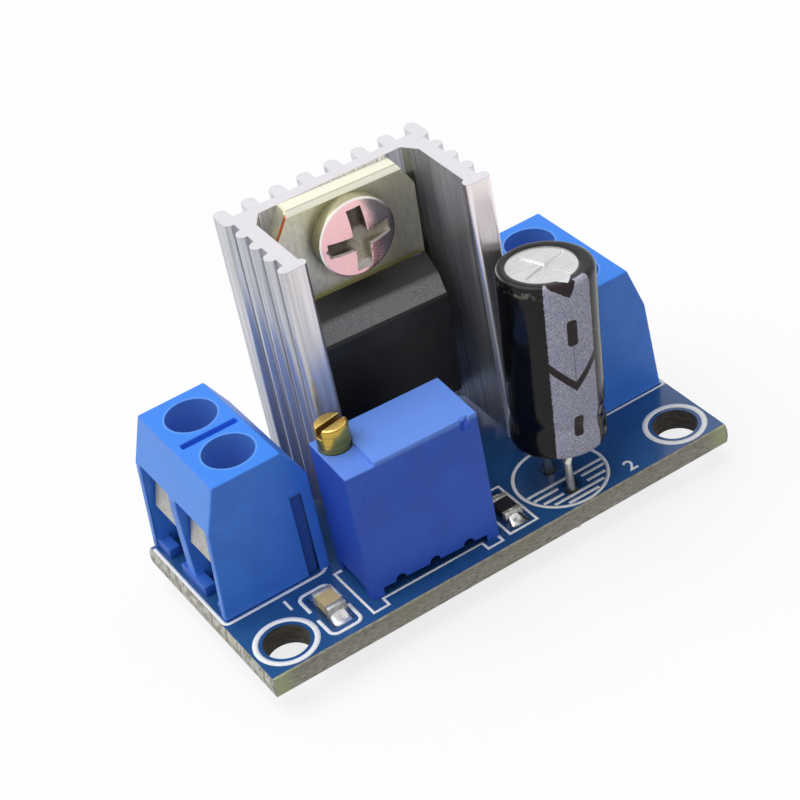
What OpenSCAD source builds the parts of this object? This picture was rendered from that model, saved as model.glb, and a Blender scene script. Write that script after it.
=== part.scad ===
// Linear regulator module: a small circuit board with a two-pole screw terminal at each end, a regulator
// bolted to an extruded heatsink, a multi-turn trimmer, an upright capacitor and two chip parts.
// Millimetres, +Z up. The origin is under the middle of the board, level with the trimmed pin tips.

/* [Board] */
// Thickness of the board
board_t = 1.6; // [1.2:0.1:2.4]
// Run and drop of the broken score lines along the board's ends
end_score_run = 0.15; // [0.05:0.01:0.3]
end_score_drop = 0.5; // [0.1:0.05:0.55]
// Broken corner along the front and back edges
side_break = 0.1; // [0.05:0.01:0.3]
// Diameter of the two mounting holes
mount_hole_d = 3.1; // [2.2:0.1:3.6]
// Mounting hole centre to the end of the board
mount_inset_x = 2.52; // [2:0.02:3.5]
// Mounting hole centre to the front edge of the board
mount_inset_y = 2.4; // [2:0.1:3.5]
// Length of pin left below the board after trimming
pin_stub = 1.5; // [0.8:0.1:3]
// Room around a pin in its board hole
pin_hole_clear = 0.15; // [0.05:0.01:0.3]

/* [Layout] */
// Wire face of a terminal to the end of the board
terminal_margin = 0.47; // [0:0.01:2]
// Side of a terminal to the back edge of the board
terminal_back_margin = 0; // [0:0.05:1]
// Room between the input terminal and the heatsink
sink_room_in = 1.89; // [1:0.01:6]
// Room between the heatsink and the output terminal
sink_room_out = 2.14; // [1:0.01:6]
// Rib tips of the heatsink to the back edge of the board
sink_back_margin = 0.26; // [0.05:0.01:3]
// Turn of the heatsink and regulator as soldered, in degrees
sink_turn = -1.05; // [-2:0.05:2]
// Room between the heatsink lips and the back of the trimmer
trimmer_gap = 0.84; // [0.5:0.01:3]
// Front of the trimmer to the front edge of the board
trimmer_front_margin = 1.51; // [0.5:0.01:4]
// Trimmer to the rear of the input terminal
trimmer_side_gap = 0.4; // [0.3:0.01:3]
// Turn of the trimmer as soldered, in degrees
trimmer_turn = -2.75; // [-3:0.05:3]
// Trimmer to the chip capacitor
chip_capacitor_gap = 1.84; // [1.2:0.01:4]
// Trimmer to the chip resistor
chip_resistor_gap = 0.98; // [0.9:0.01:3]
// Chip parts' centre line to the front edge of the board
chip_inset = 3.1; // [2:0.05:5]
// Chip resistor to the capacitor
capacitor_gap = 1.15; // [0.9:0.01:4]
// Heatsink lips to the capacitor's base
capacitor_back_gap = 0.75; // [0.7:0.01:3]

/* [Terminals] */
// Distance between the two poles
pole_pitch = 5; // [4.9:0.02:5.1]
// Width of a wire opening
opening_w = 4; // [3.6:0.05:4.3]
// Thickness of the outer side walls
terminal_wall = 0.6; // [0.3:0.025:1]
// Height of the housing above the board
housing_h = 10.25; // [9.8:0.05:13]
// Screw axis to the wire face at the board
housing_front = 4.1; // [3.9:0.05:5]
// Screw axis to the rear face
housing_rear = 3.75; // [3.3:0.05:5]
// Lean of the wire face up to the top of the openings
front_draft = 0.45; // [0.1:0.05:0.6]
// Run of the slope above the wire openings
front_slope = 1.05; // [0.5:0.05:1.5]
// Run of the slope at the top of the rear face
rear_slope = 1.45; // [0.5:0.05:2]
// Drop of the slope at the top of the rear face
rear_drop = 2.4; // [1:0.05:3]
// Height of the wire opening above the clamp pocket
opening_rise = 0.95; // [0.5:0.05:1.5]
// Wire face to the front of the partition between the openings
partition_set = 0.38; // [0:0.02:0.6]
// Height and depth of the rail under the wire openings
rail_h = 0.75; // [0.5:0.05:0.95]
rail_d = 0.85; // [0.5:0.05:1]
// Wire face to the front of that rail
rail_set = 0.2; // [0.05:0.05:0.4]
// Near side of an opening to the notch in the rail, and width of that notch
rail_foot = 0.75; // [0.3:0.05:1.2]
rail_notch = 1.7; // [0.8:0.05:2.2]
// Length, width and depth of the slot in the top between the wells
top_slot_l = 4.1; // [2:0.1:4.5]
top_slot_w = 0.55; // [0.3:0.05:1]
top_slot_depth = 1.2; // [0.3:0.1:2]
// Screw axis to the joining groove in the side
side_groove_x = 2.2; // [1.5:0.05:2.5]
// Width, depth and height of the joining groove
side_groove_w = 0.8; // [0.4:0.05:1]
side_groove_depth = 0.3; // [0.1:0.05:0.4]
side_groove_h = 6.6; // [3:0.1:7]

/* [Clamps] */
// Gap between the clamp frame and the pocket's sides
frame_clear = 0.2; // [0.1:0.05:0.3]
// Gap above and behind the clamp frame
frame_seat = 0.05; // [0.02:0.01:0.2]
// Bottom of the clamp frame above the board
frame_lift = 0.5; // [0.2:0.05:0.6]
// Sheet thickness of the clamp frame
frame_t = 0.55; // [0.4:0.05:0.6]
// Thickness of the threaded top of the frame
frame_top_t = 1.05; // [0.8:0.05:1.3]
// Clear height inside the clamp frame
frame_space = 3.9; // [3.6:0.1:4.2]
// Screw axis to the front and rear ends of the frame
frame_front = 2.45; // [2:0.05:2.6]
frame_rear = 2.35; // [2:0.05:2.6]
// Outer bend radius of the frame
frame_bend = 0.45; // [0.2:0.05:0.5]
// Width, drop and reach of the lip over the wire opening
lip_w = 2.9; // [2:0.1:3]
lip_drop = 2.3; // [1:0.1:2.6]
lip_reach = 1; // [0.6:0.05:1.1]
// Thickness of that lip
lip_t = 0.45; // [0.3:0.05:0.6]
// Sideways place of that lip
lip_shift = 0.25; // [0:0.05:0.3]
// Long and short side of a terminal pin
terminal_pin_l = 1; // [0.6:0.05:1.2]
terminal_pin_w = 0.8; // [0.5:0.05:1]
// Length and thickness of the pressure pad
pad_l = 3.2; // [2:0.1:4]
pad_t = 0.5; // [0.3:0.05:0.7]
// Gap between the pressure pad and the frame
pad_clear = 0.25; // [0.2:0.01:0.35]
// Gap between the screw tip and the pressure pad
tip_gap = 0.05; // [0.02:0.01:0.1]
// Shank diameter of a clamp screw
clamp_screw_d = 2.5; // [2:0.1:2.6]
// Radial room in the threaded hole
thread_clear = 0.08; // [0.03:0.01:0.1]
// Head diameter and height of a clamp screw
clamp_head_d = 3.2; // [2.9:0.1:3.3]
clamp_head_h = 1.1; // [0.8:0.05:1.4]
// Broken corner of its head and tip
clamp_edge = 0.25; // [0.1:0.05:0.4]
// Width and depth of its slot
clamp_slot_w = 0.5; // [0.3:0.05:0.8]
clamp_slot_depth = 0.55; // [0.3:0.05:0.7]
// Head to frame at rest, and head to the wall of its well
head_gap = 0.1; // [0.05:0.01:0.2]
well_clear = 0.15; // [0.08:0.01:0.2]

/* [Heatsink] */
// Height of the heatsink
sink_h = 20; // [15:0.5:25]
// Underside of the heatsink above the board
sink_lift = 1.7; // [1:0.05:4]
// Room between the regulator body and each side wall
sink_side_room = 0.885; // [0.7:0.005:3]
// Depth from the back wall to the front of the lips
sink_inner_d = 7.2; // [6.5:0.05:10]
// Thickness of the back wall and of the side walls
sink_back_t = 0.91; // [0.7:0.01:1.5]
sink_side_t = 1.02; // [0.7:0.01:1.5]
// Ribs along the back, and side ribs between corner and lip
sink_back_ribs = 8; // [6:2:8]
sink_side_ribs = 3; // [2:1:3]
// Width and height of a back rib
sink_rib_w = 0.96; // [0.7:0.01:1.1]
sink_rib_h = 1.25; // [0.8:0.01:1.6]
// Height of a side rib
sink_side_rib_h = 0.55; // [0.45:0.01:0.7]
// Thickness of the end lips and how far they turn inwards
sink_lip_t = 0.82; // [0.6:0.01:1.2]
sink_lip_in = 0.3; // [0.2:0.05:1]
// Room between the tab and the fillets in the inner corners, and depth of those fillets
sink_corner_clear = 0.2; // [0.2:0.02:0.6]
sink_corner_d = 1.1; // [0.3:0.05:1.2]

/* [Regulator] */
// Turn of the regulator about its screw, in degrees
regulator_turn = 2; // [0:0.1:2]
// Width and thickness of the tab
tab_w = 10.14; // [9.8:0.02:10.2]
tab_t = 1.35; // [1.1:0.01:1.4]
// Width of the tab behind the body
tab_foot_w = 8; // [6:0.1:8.6]
// Height of the tab above the body
tab_h = 6.9; // [6:0.05:7.5]
// Width and height of the cut upper corners
tab_cut_w = 1; // [0.3:0.05:1.5]
tab_cut_h = 1.7; // [0.3:0.05:2]
// Bevel along the top edge of the tab
tab_bevel = 0.35; // [0.1:0.05:0.6]
// Diameter of the tab hole and its centre below the top
tab_hole_d = 3.7; // [3.3:0.05:3.9]
tab_hole_drop = 3.14; // [2.9:0.02:3.5]
// Top of the tab below the top of the heatsink
tab_recess = 0.13; // [0:0.01:1]
// Width, height and depth of the body in front of the tab
body_w = 10.2; // [9.8:0.05:10.4]
body_h = 9.3; // [8.5:0.05:10]
body_d = 3.06; // [2.5:0.02:3.5]
// Narrowing of the body towards its front on each side
body_draft = 0.45; // [0.1:0.05:0.8]
// Depth and drop of the gentle slope at the top of the body
body_slope_d = 1.83; // [1:0.01:2]
body_slope_drop = 0.6; // [0.3:0.05:1]
// Drop of the steep bevel below it
body_bevel_drop = 1.2; // [0.6:0.05:1.8]
// Distance between leads
lead_pitch = 2.54; // [2.5:0.01:2.58]
// Width and thickness of a lead
lead_w = 0.8; // [0.6:0.02:1]
lead_t = 0.5; // [0.4:0.02:0.6]
// Width and length of the wide upper part of a lead
lead_shoulder_w = 1.3; // [1.05:0.05:1.5]
lead_shoulder_l = 3.2; // [2:0.1:3.5]
// Back of the tab to the leads
lead_offset = 2.55; // [2.3:0.05:2.8]
// Shank diameter and length of the fixing screw
fix_screw_d = 3; // [2.5:0.1:3]
fix_screw_l = 3.4; // [2.6:0.1:3.5]
// Radial room in the tapped hole
fix_clear = 0.02; // [0.01:0.01:0.05]
// Head diameter, height and height of its straight rim
fix_head_d = 5.5; // [5:0.1:5.7]
fix_head_h = 2.1; // [1.6:0.1:2.6]
fix_head_rim = 0.9; // [0.5:0.05:1.2]
// Length, width and depth of the cross recess
fix_cross_l = 4.5; // [3:0.1:4.6]
fix_cross_w = 1.05; // [0.5:0.05:1.2]
fix_cross_depth = 1.3; // [0.8:0.1:1.5]

/* [Trimmer] */
// Length, width and height of the trimmer
trim_l = 9.53; // [9.2:0.01:10]
trim_w = 4.83; // [4.6:0.01:5.2]
trim_h = 10.2; // [9.5:0.05:11]
// Wall thickness
trim_wall = 0.7; // [0.5:0.05:0.75]
// Length and height of the corner feet
trim_foot_l = 0.9; // [0.5:0.05:1.2]
trim_foot_h = 0.6; // [0.3:0.05:0.8]
// Diameter of the half-round notches over the pins
trim_notch_d = 0.8; // [0.4:0.05:1]
// Width and depth of the lowered strip round the screw
trim_strip_w = 2.1; // [1.8:0.05:2.4]
trim_strip_drop = 0.25; // [0.1:0.05:0.5]
// Size of the key at the front corner and the notch beside it
trim_key_l = 0.65; // [0.4:0.05:1]
trim_key_drop = 0.9; // [0.5:0.05:1.2]
trim_key_notch = 0.25; // [0.1:0.05:0.4]
// Screw axis to the end and to the front of the trimmer
trim_screw_x = 1.27; // [1.25:0.01:1.6]
trim_screw_y = 3.55; // [3.2:0.05:3.6]
// Diameter of the screw head and of the worm below it
trim_screw_d = 2.2; // [1.8:0.05:2.3]
trim_worm_d = 1.4; // [1.2:0.05:1.5]
// Height of the screw above the trimmer and depth of its head
trim_screw_rise = 1.55; // [1:0.05:2.5]
trim_screw_sink = 2; // [1.8:0.05:2.2]
// Broken corner of the screw head
trim_screw_edge = 0.15; // [0.05:0.05:0.3]
// Width and depth of the screw slot
trim_slot_w = 0.5; // [0.3:0.05:0.7]
trim_slot_depth = 0.7; // [0.4:0.05:0.9]
// Turn of that slot in degrees
trim_slot_turn = 30; // [0:5:90]
// Radial room of the screw in its bore
trim_screw_clear = 0.04; // [0.03:0.01:0.1]
// Wire diameter of the shaft seal
trim_seal_d = 0.34; // [0.3:0.01:0.4]
// Teeth on the rotor and depth of a tooth
rotor_teeth = 36; // [30:1:40]
rotor_tooth = 0.3; // [0.2:0.02:0.35]
// Thickness of the rotor and diameter of its pivot
rotor_t = 1; // [0.8:0.05:1.1]
rotor_pivot_d = 1.2; // [0.8:0.05:1.4]
// Running clearance of the rotor and wiper
rotor_clear = 0.1; // [0.05:0.01:0.15]
// Thickness of the wiper sheet and diameter of its disc
wiper_t = 0.2; // [0.15:0.01:0.3]
wiper_d = 4; // [3:0.1:4.5]
// Diameter of the wiper's contact points
wiper_point_d = 0.5; // [0.3:0.05:0.7]
// Thickness of the resistance element
element_t = 0.7; // [0.5:0.05:0.8]
// Depth of the resin that closes the base
resin_t = 1.2; // [0.8:0.05:1.4]
// Diameter of a trimmer pin
trim_pin_d = 0.5; // [0.4:0.02:0.6]

/* [Capacitor] */
// Diameter and length over the sleeve
cap_d = 6.38; // [5.8:0.02:6.6]
cap_l = 12.75; // [10:0.05:16]
// Base above the board
cap_lift = 3.55; // [2.5:0.05:5]
// Lean towards the output end and towards the back, in degrees
cap_lean_x = 5.28; // [0:0.02:5.6]
cap_lean_y = 2.06; // [0:0.02:2.4]
// Thickness of the sleeve and of its lips over the ends
sleeve_t = 0.12; // [0.1:0.01:0.2]
// Diameter of the bare disc inside the sleeve's lips
sleeve_open_d = 4.6; // [4:0.05:5.2]
// Height and depth of the rolled groove over the bung
cap_bead_z = 2.1; // [1.6:0.1:3]
cap_bead_depth = 0.16; // [0.05:0.01:0.25]
// Length, width and depth of the scored cross
cap_score_l = 4.1; // [2:0.1:4.5]
cap_score_w = 0.22; // [0.1:0.02:0.4]
cap_score_depth = 0.1; // [0.05:0.01:0.2]
// Turn of that cross in degrees
cap_score_turn = 20; // [0:5:90]
// Height of the bung
bung_h = 1.2; // [0.8:0.05:1.5]
// Lead diameter, distance between leads at the can and at the board
cap_lead_d = 0.56; // [0.4:0.02:0.7]
cap_lead_pitch = 2.5; // [2:0.05:3]
cap_pad_pitch = 2.6; // [2.4:0.05:4]
// Swelling of a lead where it bends
cap_lead_swell = 1.06; // [1.02:0.01:1.2]
// Straight end of a lead below the can, and height of its lower bend above the board
cap_lead_end = 0.25; // [0.1:0.05:0.5]
cap_lead_knee = 2.4; // [0.6:0.05:2.4]
// Middle of the can to the middle of its pads, towards the input end and towards the front
cap_pad_in = 0.6; // [0:0.05:1]
cap_pad_front = 0.2; // [0:0.05:0.5]

/* [Chip parts] */
// Length, width and heights of the chip parts
chip_l = 2; // [1.6:0.05:2.4]
chip_w = 1.25; // [0.8:0.05:1.6]
chip_capacitor_h = 0.85; // [0.5:0.05:1.2]
chip_resistor_h = 0.5; // [0.3:0.05:0.7]
// Length and thickness of the end caps
chip_end_l = 0.42; // [0.25:0.01:0.6]
chip_end_t = 0.04; // [0.02:0.01:0.08]
// Length of a solder fillet at a chip end, its height as a share of the chip's and its thin edge
chip_fillet_l = 0.6; // [0.3:0.05:0.8]
chip_fillet_rise = 0.8; // [0.5:0.05:1]
chip_fillet_edge = 0.015; // [0.01:0.005:0.05]

/* [Solder] */
// Height and foot diameter of a solder joint under the board
joint_h = 0.9; // [0.4:0.05:0.95]
joint_d = 1.9; // [1.7:0.05:2.3]
// Width of solder round a pin at the board and at the joint's tip
joint_ring = 0.3; // [0.2:0.05:0.5]
joint_tip = 0.06; // [0.06:0.01:0.2]
// Room between solder and pin
solder_clear = 0.02; // [0.01:0.01:0.05]

/* [Hidden] */
$fn = 48;
over = 1;
bite = 0.1;

// Heights
board_bottom = pin_stub;
board_top = board_bottom + board_t;

// Heatsink section
sink_inner_w = body_w + 2 * sink_side_room;
sink_corner_w = (sink_inner_w - tab_w) / 2 - sink_corner_clear;
sink_outer_x = sink_inner_w / 2 + sink_side_t;
sink_corner_x = sink_outer_x + sink_rib_w / 10;
sink_tip_x = sink_corner_x + sink_rib_w / 2;
sink_depth = sink_rib_h + sink_back_t + sink_inner_d;

// Terminal section
housing_w = pole_pitch + opening_w + 2 * terminal_wall;
frame_w = opening_w - 2 * frame_clear;
frame_h = frame_space + frame_t + frame_top_t;
frame_top = frame_lift + frame_h;
pocket_top = frame_top + frame_seat;
pocket_rear = frame_rear + frame_seat;
knee_h = pocket_top + opening_rise;
pad_bottom = frame_lift + frame_t + pad_clear;
pad_w = frame_w - 2 * frame_t - 2 * pad_clear;
clamp_tip = pad_bottom + pad_t + tip_gap;
clamp_head_z = frame_top + head_gap;
well_d = clamp_head_d + 2 * well_clear;

// Board outline and places on it
terminal_l = terminal_margin + housing_front + housing_rear;
board_l = 2 * terminal_l + sink_room_in + 2 * sink_tip_x + sink_room_out;
board_w = sink_back_margin + sink_depth + trimmer_gap + trim_w + trimmer_front_margin;
terminal_x = board_l / 2 - terminal_margin - housing_front;
terminal_y = board_w / 2 - terminal_back_margin - housing_w / 2;
mount_x = board_l / 2 - mount_inset_x;
mount_y = mount_inset_y - board_w / 2;
sink_x = terminal_l + sink_room_in + sink_tip_x - board_l / 2;
sink_y = board_w / 2 - sink_back_margin - sink_rib_h - sink_back_t;
sink_front_y = sink_y - sink_inner_d;
trim_x = terminal_l + trimmer_side_gap - board_l / 2;
trim_y = trimmer_front_margin - board_w / 2;
chip_y = chip_inset - board_w / 2;
chip_capacitor_x = trim_x - chip_capacitor_gap - chip_w / 2;
chip_resistor_x = trim_x + trim_l + chip_resistor_gap + chip_w / 2;
cap_x = chip_resistor_x + chip_w / 2 + capacitor_gap + cap_d / 2;
cap_y = sink_front_y - capacitor_back_gap - cap_d / 2;
cap_pad_x = cap_x - cap_pad_in;
cap_pad_y = cap_y - cap_pad_front;

// Regulator heights above the board
sink_top = sink_lift + sink_h;
tab_top = sink_top - tab_recess;
body_top = tab_top - tab_h;
body_bottom = body_top - body_h;
tab_hole_z = tab_top - tab_hole_drop;
lead_knee_drop = tab_hole_z - body_bottom + lead_shoulder_l;
lead_foot_x = -lead_knee_drop * sin(regulator_turn);
lead_knee_z = tab_hole_z - lead_knee_drop * cos(regulator_turn) + lead_w / 2;

// Trimmer inside
trim_pin_xs = [for (i = [-1:1]) trim_l / 2 + i * lead_pitch];
trim_pin_y = trim_w / 2;
trim_body_z = trim_foot_h;
trim_roof_z = trim_h - trim_strip_drop - trim_wall;
trim_bore_d = trim_screw_d + 2 * trim_screw_clear;
trim_head_z = trim_h - trim_screw_sink;
resin_top = trim_body_z + resin_t;
element_y = trim_wall + rotor_clear;
element_face_y = element_y + element_t;
element_z = resin_top + rotor_clear;
rotor_x = trim_l / 2 + (trim_screw_x + trim_worm_d / 2 - trim_wall) / 2;
rotor_r = rotor_x - trim_screw_x - trim_worm_d / 2 - rotor_clear;
rotor_z = resin_top + 2 * rotor_clear + rotor_r;
rotor_y = trim_screw_y - rotor_t / 2;
rotor_back_y = rotor_y + rotor_t;
wiper_y = rotor_y - wiper_t;
wiper_point_r = wiper_d / 2 - wiper_point_d;
pivot_y = rotor_y + rotor_clear;

// Places on the board
module at_input() {
    translate([-terminal_x, terminal_y, board_top]) children();
}

module at_output() {
    translate([terminal_x, terminal_y, board_top]) rotate([0, 0, 180]) children();
}

module at_pole(i) {
    translate([0, (i - 1.5) * pole_pitch, 0]) children();
}

module at_sink() {
    translate([sink_x, sink_y, board_top]) rotate([0, 0, sink_turn]) children();
}

module at_regulator() {
    at_sink() translate([0, 0, tab_hole_z])
        rotate([0, regulator_turn, 0])
            translate([0, 0, -tab_hole_z]) children();
}

module at_trimmer() {
    translate([trim_x, trim_y, board_top])
        translate([trim_l / 2, trim_w / 2, 0])
            rotate([0, 0, trimmer_turn])
                translate([-trim_l / 2, -trim_w / 2, 0]) children();
}

module at_capacitor() {
    translate([cap_x, cap_y, board_top + cap_lift]) rotate([-cap_lean_y, cap_lean_x, 0]) children();
}

module at_chip(x) {
    translate([x, chip_y, board_top]) children();
}

// A point of the leaning capacitor, in the board's frame
function cap_point(p) =
    let (a = -cap_lean_y, b = cap_lean_x)
    let (y = p.y * cos(a) - p.z * sin(a), z = p.y * sin(a) + p.z * cos(a))
    [cap_x + p.x * cos(b) + z * sin(b), cap_y + y, board_top + cap_lift - p.x * sin(b) + z * cos(b)];

// Shared shapes
module rounded_rect(w, h, r) {
    translate([r - w / 2, 0]) square([w - 2 * r, h]);
    translate([-w / 2, r]) square([w, h - 2 * r]);
    for (x = [r - w / 2, w / 2 - r], y = [r, h - r]) translate([x, y]) circle(r);
}

module along_x(l) {
    rotate([90, 0, 90]) linear_extrude(l) children();
}

module across_y(w) {
    translate([0, w / 2, 0]) rotate([90, 0, 0]) linear_extrude(w) children();
}

module rod(p, q, d) {
    v = q - p;
    translate(p) rotate([0, acos(v.z / norm(v)), atan2(v.y, v.x)]) cylinder(h = norm(v), d = d);
}

// Every soldered pin, seen from above: calls its children once at each place
module at_terminal_pins() {
    for (i = [1, 2]) at_input() at_pole(i) children();
    for (i = [1, 2]) at_output() at_pole(i) children();
}

module at_lead_pins() {
    at_sink() for (i = [-1:1])
        translate([i * lead_pitch * cos(regulator_turn) + lead_foot_x, -lead_offset, 0]) children();
}

module at_trimmer_pins() {
    at_trimmer() for (x = trim_pin_xs) translate([x, trim_pin_y, 0]) children();
}

module at_capacitor_pins() {
    for (s = [-1, 1]) translate([cap_pad_x, cap_pad_y + s * cap_pad_pitch / 2, board_top]) children();
}

module board_hole(d) {
    translate([0, 0, -board_t - over]) cylinder(h = board_t + 2 * over, d = d + 2 * pin_hole_clear);
}

// Circuit board
module board_section(l, w, run, drop) {
    across_y(w) polygon([
        [-l / 2 + run, 0], [l / 2 - run, 0], [l / 2, drop], [l / 2, board_t - drop],
        [l / 2 - run, board_t], [-l / 2 + run, board_t], [-l / 2, board_t - drop], [-l / 2, drop]
    ]);
}

module circuit_board() {
    color("#101c6e") difference() {
        translate([0, 0, board_bottom]) intersection() {
            board_section(board_l, board_w, end_score_run, end_score_drop);
            rotate([0, 0, 90]) board_section(board_w, board_l, side_break, side_break);
        }
        for (s = [-1, 1]) translate([s * mount_x, mount_y, board_bottom - over])
            cylinder(h = board_t + 2 * over, d = mount_hole_d);
        at_terminal_pins() board_hole(norm([terminal_pin_l, terminal_pin_w]));
        at_lead_pins() board_hole(norm([lead_w, lead_t]));
        at_trimmer_pins() board_hole(trim_pin_d);
        at_capacitor_pins() board_hole(cap_lead_d);
    }
}

// Screw terminals, drawn with the wire face towards -X and the screw axes on X = 0
module housing_profile() {
    polygon([
        [-housing_front, 0], [housing_rear, 0],
        [housing_rear, housing_h - rear_drop], [housing_rear - rear_slope, housing_h],
        [-housing_front + front_draft + front_slope, housing_h],
        [-housing_front + front_draft, knee_h]
    ]);
}

module pole_cavity() {
    translate([-frame_front - bite, -opening_w / 2, -over])
        cube([frame_front + bite + pocket_rear, opening_w, pocket_top + over]);
    translate([-housing_front - over, -opening_w / 2, -over])
        cube([housing_front + over - frame_front, opening_w, knee_h + over]);
    cylinder(h = housing_h + over, d = well_d);
}

// The rail runs in front of the partition from one side wall to the other, with a notch at each pole
module wire_rail() {
    w = housing_w - terminal_wall;
    difference() {
        translate([-housing_front + rail_set, -w / 2, 0]) cube([rail_d, w, rail_h]);
        for (i = [1, 2]) at_pole(i) translate([-housing_front, rail_foot - opening_w / 2, -over])
            cube([housing_front, rail_notch, rail_h + 2 * over]);
    }
}

module terminal_housing() {
    partition_w = pole_pitch - opening_w;
    color("#2f6fe0") difference() {
        union() {
            difference() {
                across_y(housing_w) housing_profile();
                for (i = [1, 2]) at_pole(i) pole_cavity();
                translate([-housing_front - over, -partition_w / 2 - bite, -over])
                    cube([partition_set + over, partition_w + 2 * bite, knee_h + over]);
            }
            wire_rail();
        }
        translate([-top_slot_l / 2, -top_slot_w / 2, housing_h - top_slot_depth])
            cube([top_slot_l, top_slot_w, top_slot_depth + over]);
        translate([side_groove_x, -housing_w / 2 - over, -over])
            cube([side_groove_w, side_groove_depth + over, side_groove_h + over]);
    }
}

module clamp_frame() {
    color("#b9b3a6") difference() {
        union() {
            translate([-frame_front, 0, frame_lift]) along_x(frame_front + frame_rear) difference() {
                rounded_rect(frame_w, frame_h, frame_bend);
                translate([0, frame_t])
                    rounded_rect(frame_w - 2 * frame_t, frame_space, frame_bend / 2);
            }
            translate([0, lip_shift, 0]) across_y(lip_w) polygon([
                [-frame_front + bite, frame_top], [-frame_front - lip_t, frame_top],
                [-frame_front - lip_reach, frame_top - lip_drop],
                [-frame_front - lip_reach + lip_t, frame_top - lip_drop],
                [-frame_front + bite, frame_top - frame_top_t + bite]
            ]);
            translate([-terminal_pin_l / 2, -terminal_pin_w / 2, -board_top])
                cube([terminal_pin_l, terminal_pin_w, board_top + frame_lift + frame_t / 2]);
        }
        translate([0, 0, frame_top - frame_top_t - bite])
            cylinder(h = frame_top_t + 2 * bite, d = clamp_screw_d + 2 * thread_clear);
    }
}

module pressure_pad() {
    color("#c8c2b4") translate([-pad_l / 2, -pad_w / 2, pad_bottom]) cube([pad_l, pad_w, pad_t]);
}

module clamp_screw() {
    r = clamp_screw_d / 2;
    edge = clamp_edge;
    top = clamp_head_z + clamp_head_h;
    color("#c9ccd1") difference() {
        rotate_extrude() polygon([
            [0, clamp_tip], [r - edge, clamp_tip], [r, clamp_tip + edge], [r, clamp_head_z],
            [clamp_head_d / 2, clamp_head_z], [clamp_head_d / 2, top - edge],
            [clamp_head_d / 2 - edge, top], [0, top]
        ]);
        translate([-clamp_head_d, -clamp_slot_w / 2, top - clamp_slot_depth])
            cube([2 * clamp_head_d, clamp_slot_w, clamp_slot_depth + over]);
    }
}

module input_terminal_housing() { at_input() terminal_housing(); }
module output_terminal_housing() { at_output() terminal_housing(); }
module input_clamp_frame_1() { at_input() at_pole(1) clamp_frame(); }
module input_clamp_frame_2() { at_input() at_pole(2) clamp_frame(); }
module output_clamp_frame_1() { at_output() at_pole(1) clamp_frame(); }
module output_clamp_frame_2() { at_output() at_pole(2) clamp_frame(); }
module input_pressure_pad_1() { at_input() at_pole(1) pressure_pad(); }
module input_pressure_pad_2() { at_input() at_pole(2) pressure_pad(); }
module output_pressure_pad_1() { at_output() at_pole(1) pressure_pad(); }
module output_pressure_pad_2() { at_output() at_pole(2) pressure_pad(); }
module input_clamp_screw_1() { at_input() at_pole(1) clamp_screw(); }
module input_clamp_screw_2() { at_input() at_pole(2) clamp_screw(); }
module output_clamp_screw_1() { at_output() at_pole(1) clamp_screw(); }
module output_clamp_screw_2() { at_output() at_pole(2) clamp_screw(); }

// Heatsink, drawn with the inner face of its back wall on Y = 0
module back_rib() {
    r = sink_rib_w / 2;
    tip = sink_back_t + sink_rib_h - r;
    translate([0, r]) circle(r);
    translate([-r, r]) square([sink_rib_w, tip - r]);
    translate([0, tip]) circle(r);
}

module sink_lip() {
    r = sink_lip_t / 2;
    inner = sink_inner_w / 2 - sink_lip_in + r;
    outer = sink_tip_x - r;
    for (x = [inner, outer]) translate([x, r - sink_inner_d]) circle(r);
    translate([inner, -sink_inner_d]) square([outer - inner, sink_lip_t]);
}

module sink_profile() {
    rib_pitch = 2 * sink_corner_x / (sink_back_ribs - 1);
    first_y = sink_rib_w / 2;
    last_y = sink_lip_t / 2 - sink_inner_d;
    side_pitch = (first_y - last_y) / (sink_side_ribs + 1);
    side_r = sink_rib_w / 2;
    translate([-sink_outer_x, 0]) square([2 * sink_outer_x, sink_back_t]);
    for (i = [0:sink_back_ribs - 1]) translate([i * rib_pitch - sink_corner_x, 0]) back_rib();
    for (s = [0, 1]) mirror([s, 0]) {
        translate([sink_inner_w / 2, sink_lip_t / 2 - sink_inner_d])
            square([sink_side_t, sink_inner_d - sink_lip_t / 2 + bite]);
        for (i = [1:sink_side_ribs])
            translate([sink_outer_x + sink_side_rib_h - side_r, first_y - i * side_pitch]) circle(side_r);
        sink_lip();
        polygon([
            [sink_inner_w / 2 + bite, bite], [sink_inner_w / 2 - sink_corner_w, bite],
            [sink_inner_w / 2 - sink_corner_w, 0], [sink_inner_w / 2, -sink_corner_d],
            [sink_inner_w / 2 + bite, -sink_corner_d]
        ]);
    }
}

module heatsink() {
    color("#c4c7cb") at_sink() difference() {
        translate([0, 0, sink_lift]) linear_extrude(sink_h) sink_profile();
        translate([0, -bite, tab_hole_z]) rotate([-90, 0, 0])
            cylinder(h = sink_back_t + sink_rib_h + over, d = fix_screw_d + 2 * fix_clear);
    }
}

// Regulator, in the heatsink's frame
module regulator_tab() {
    color("#a9a7a3") at_regulator() difference() {
        intersection() {
            across_y(2 * tab_t) polygon([
                [-tab_foot_w / 2, body_bottom], [tab_foot_w / 2, body_bottom],
                [tab_foot_w / 2, body_top], [tab_w / 2, body_top],
                [tab_w / 2, tab_top - tab_cut_h], [tab_w / 2 - tab_cut_w, tab_top],
                [tab_cut_w - tab_w / 2, tab_top], [-tab_w / 2, tab_top - tab_cut_h],
                [-tab_w / 2, body_top], [-tab_foot_w / 2, body_top]
            ]);
            translate([-tab_w, 0, 0]) along_x(2 * tab_w) polygon([
                [0, body_bottom], [0, tab_top], [tab_bevel - tab_t, tab_top],
                [-tab_t, tab_top - tab_bevel], [-tab_t, body_bottom]
            ]);
        }
        translate([0, -tab_t - over, tab_hole_z]) rotate([-90, 0, 0])
            cylinder(h = tab_t + 2 * over, d = tab_hole_d);
    }
}

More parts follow.
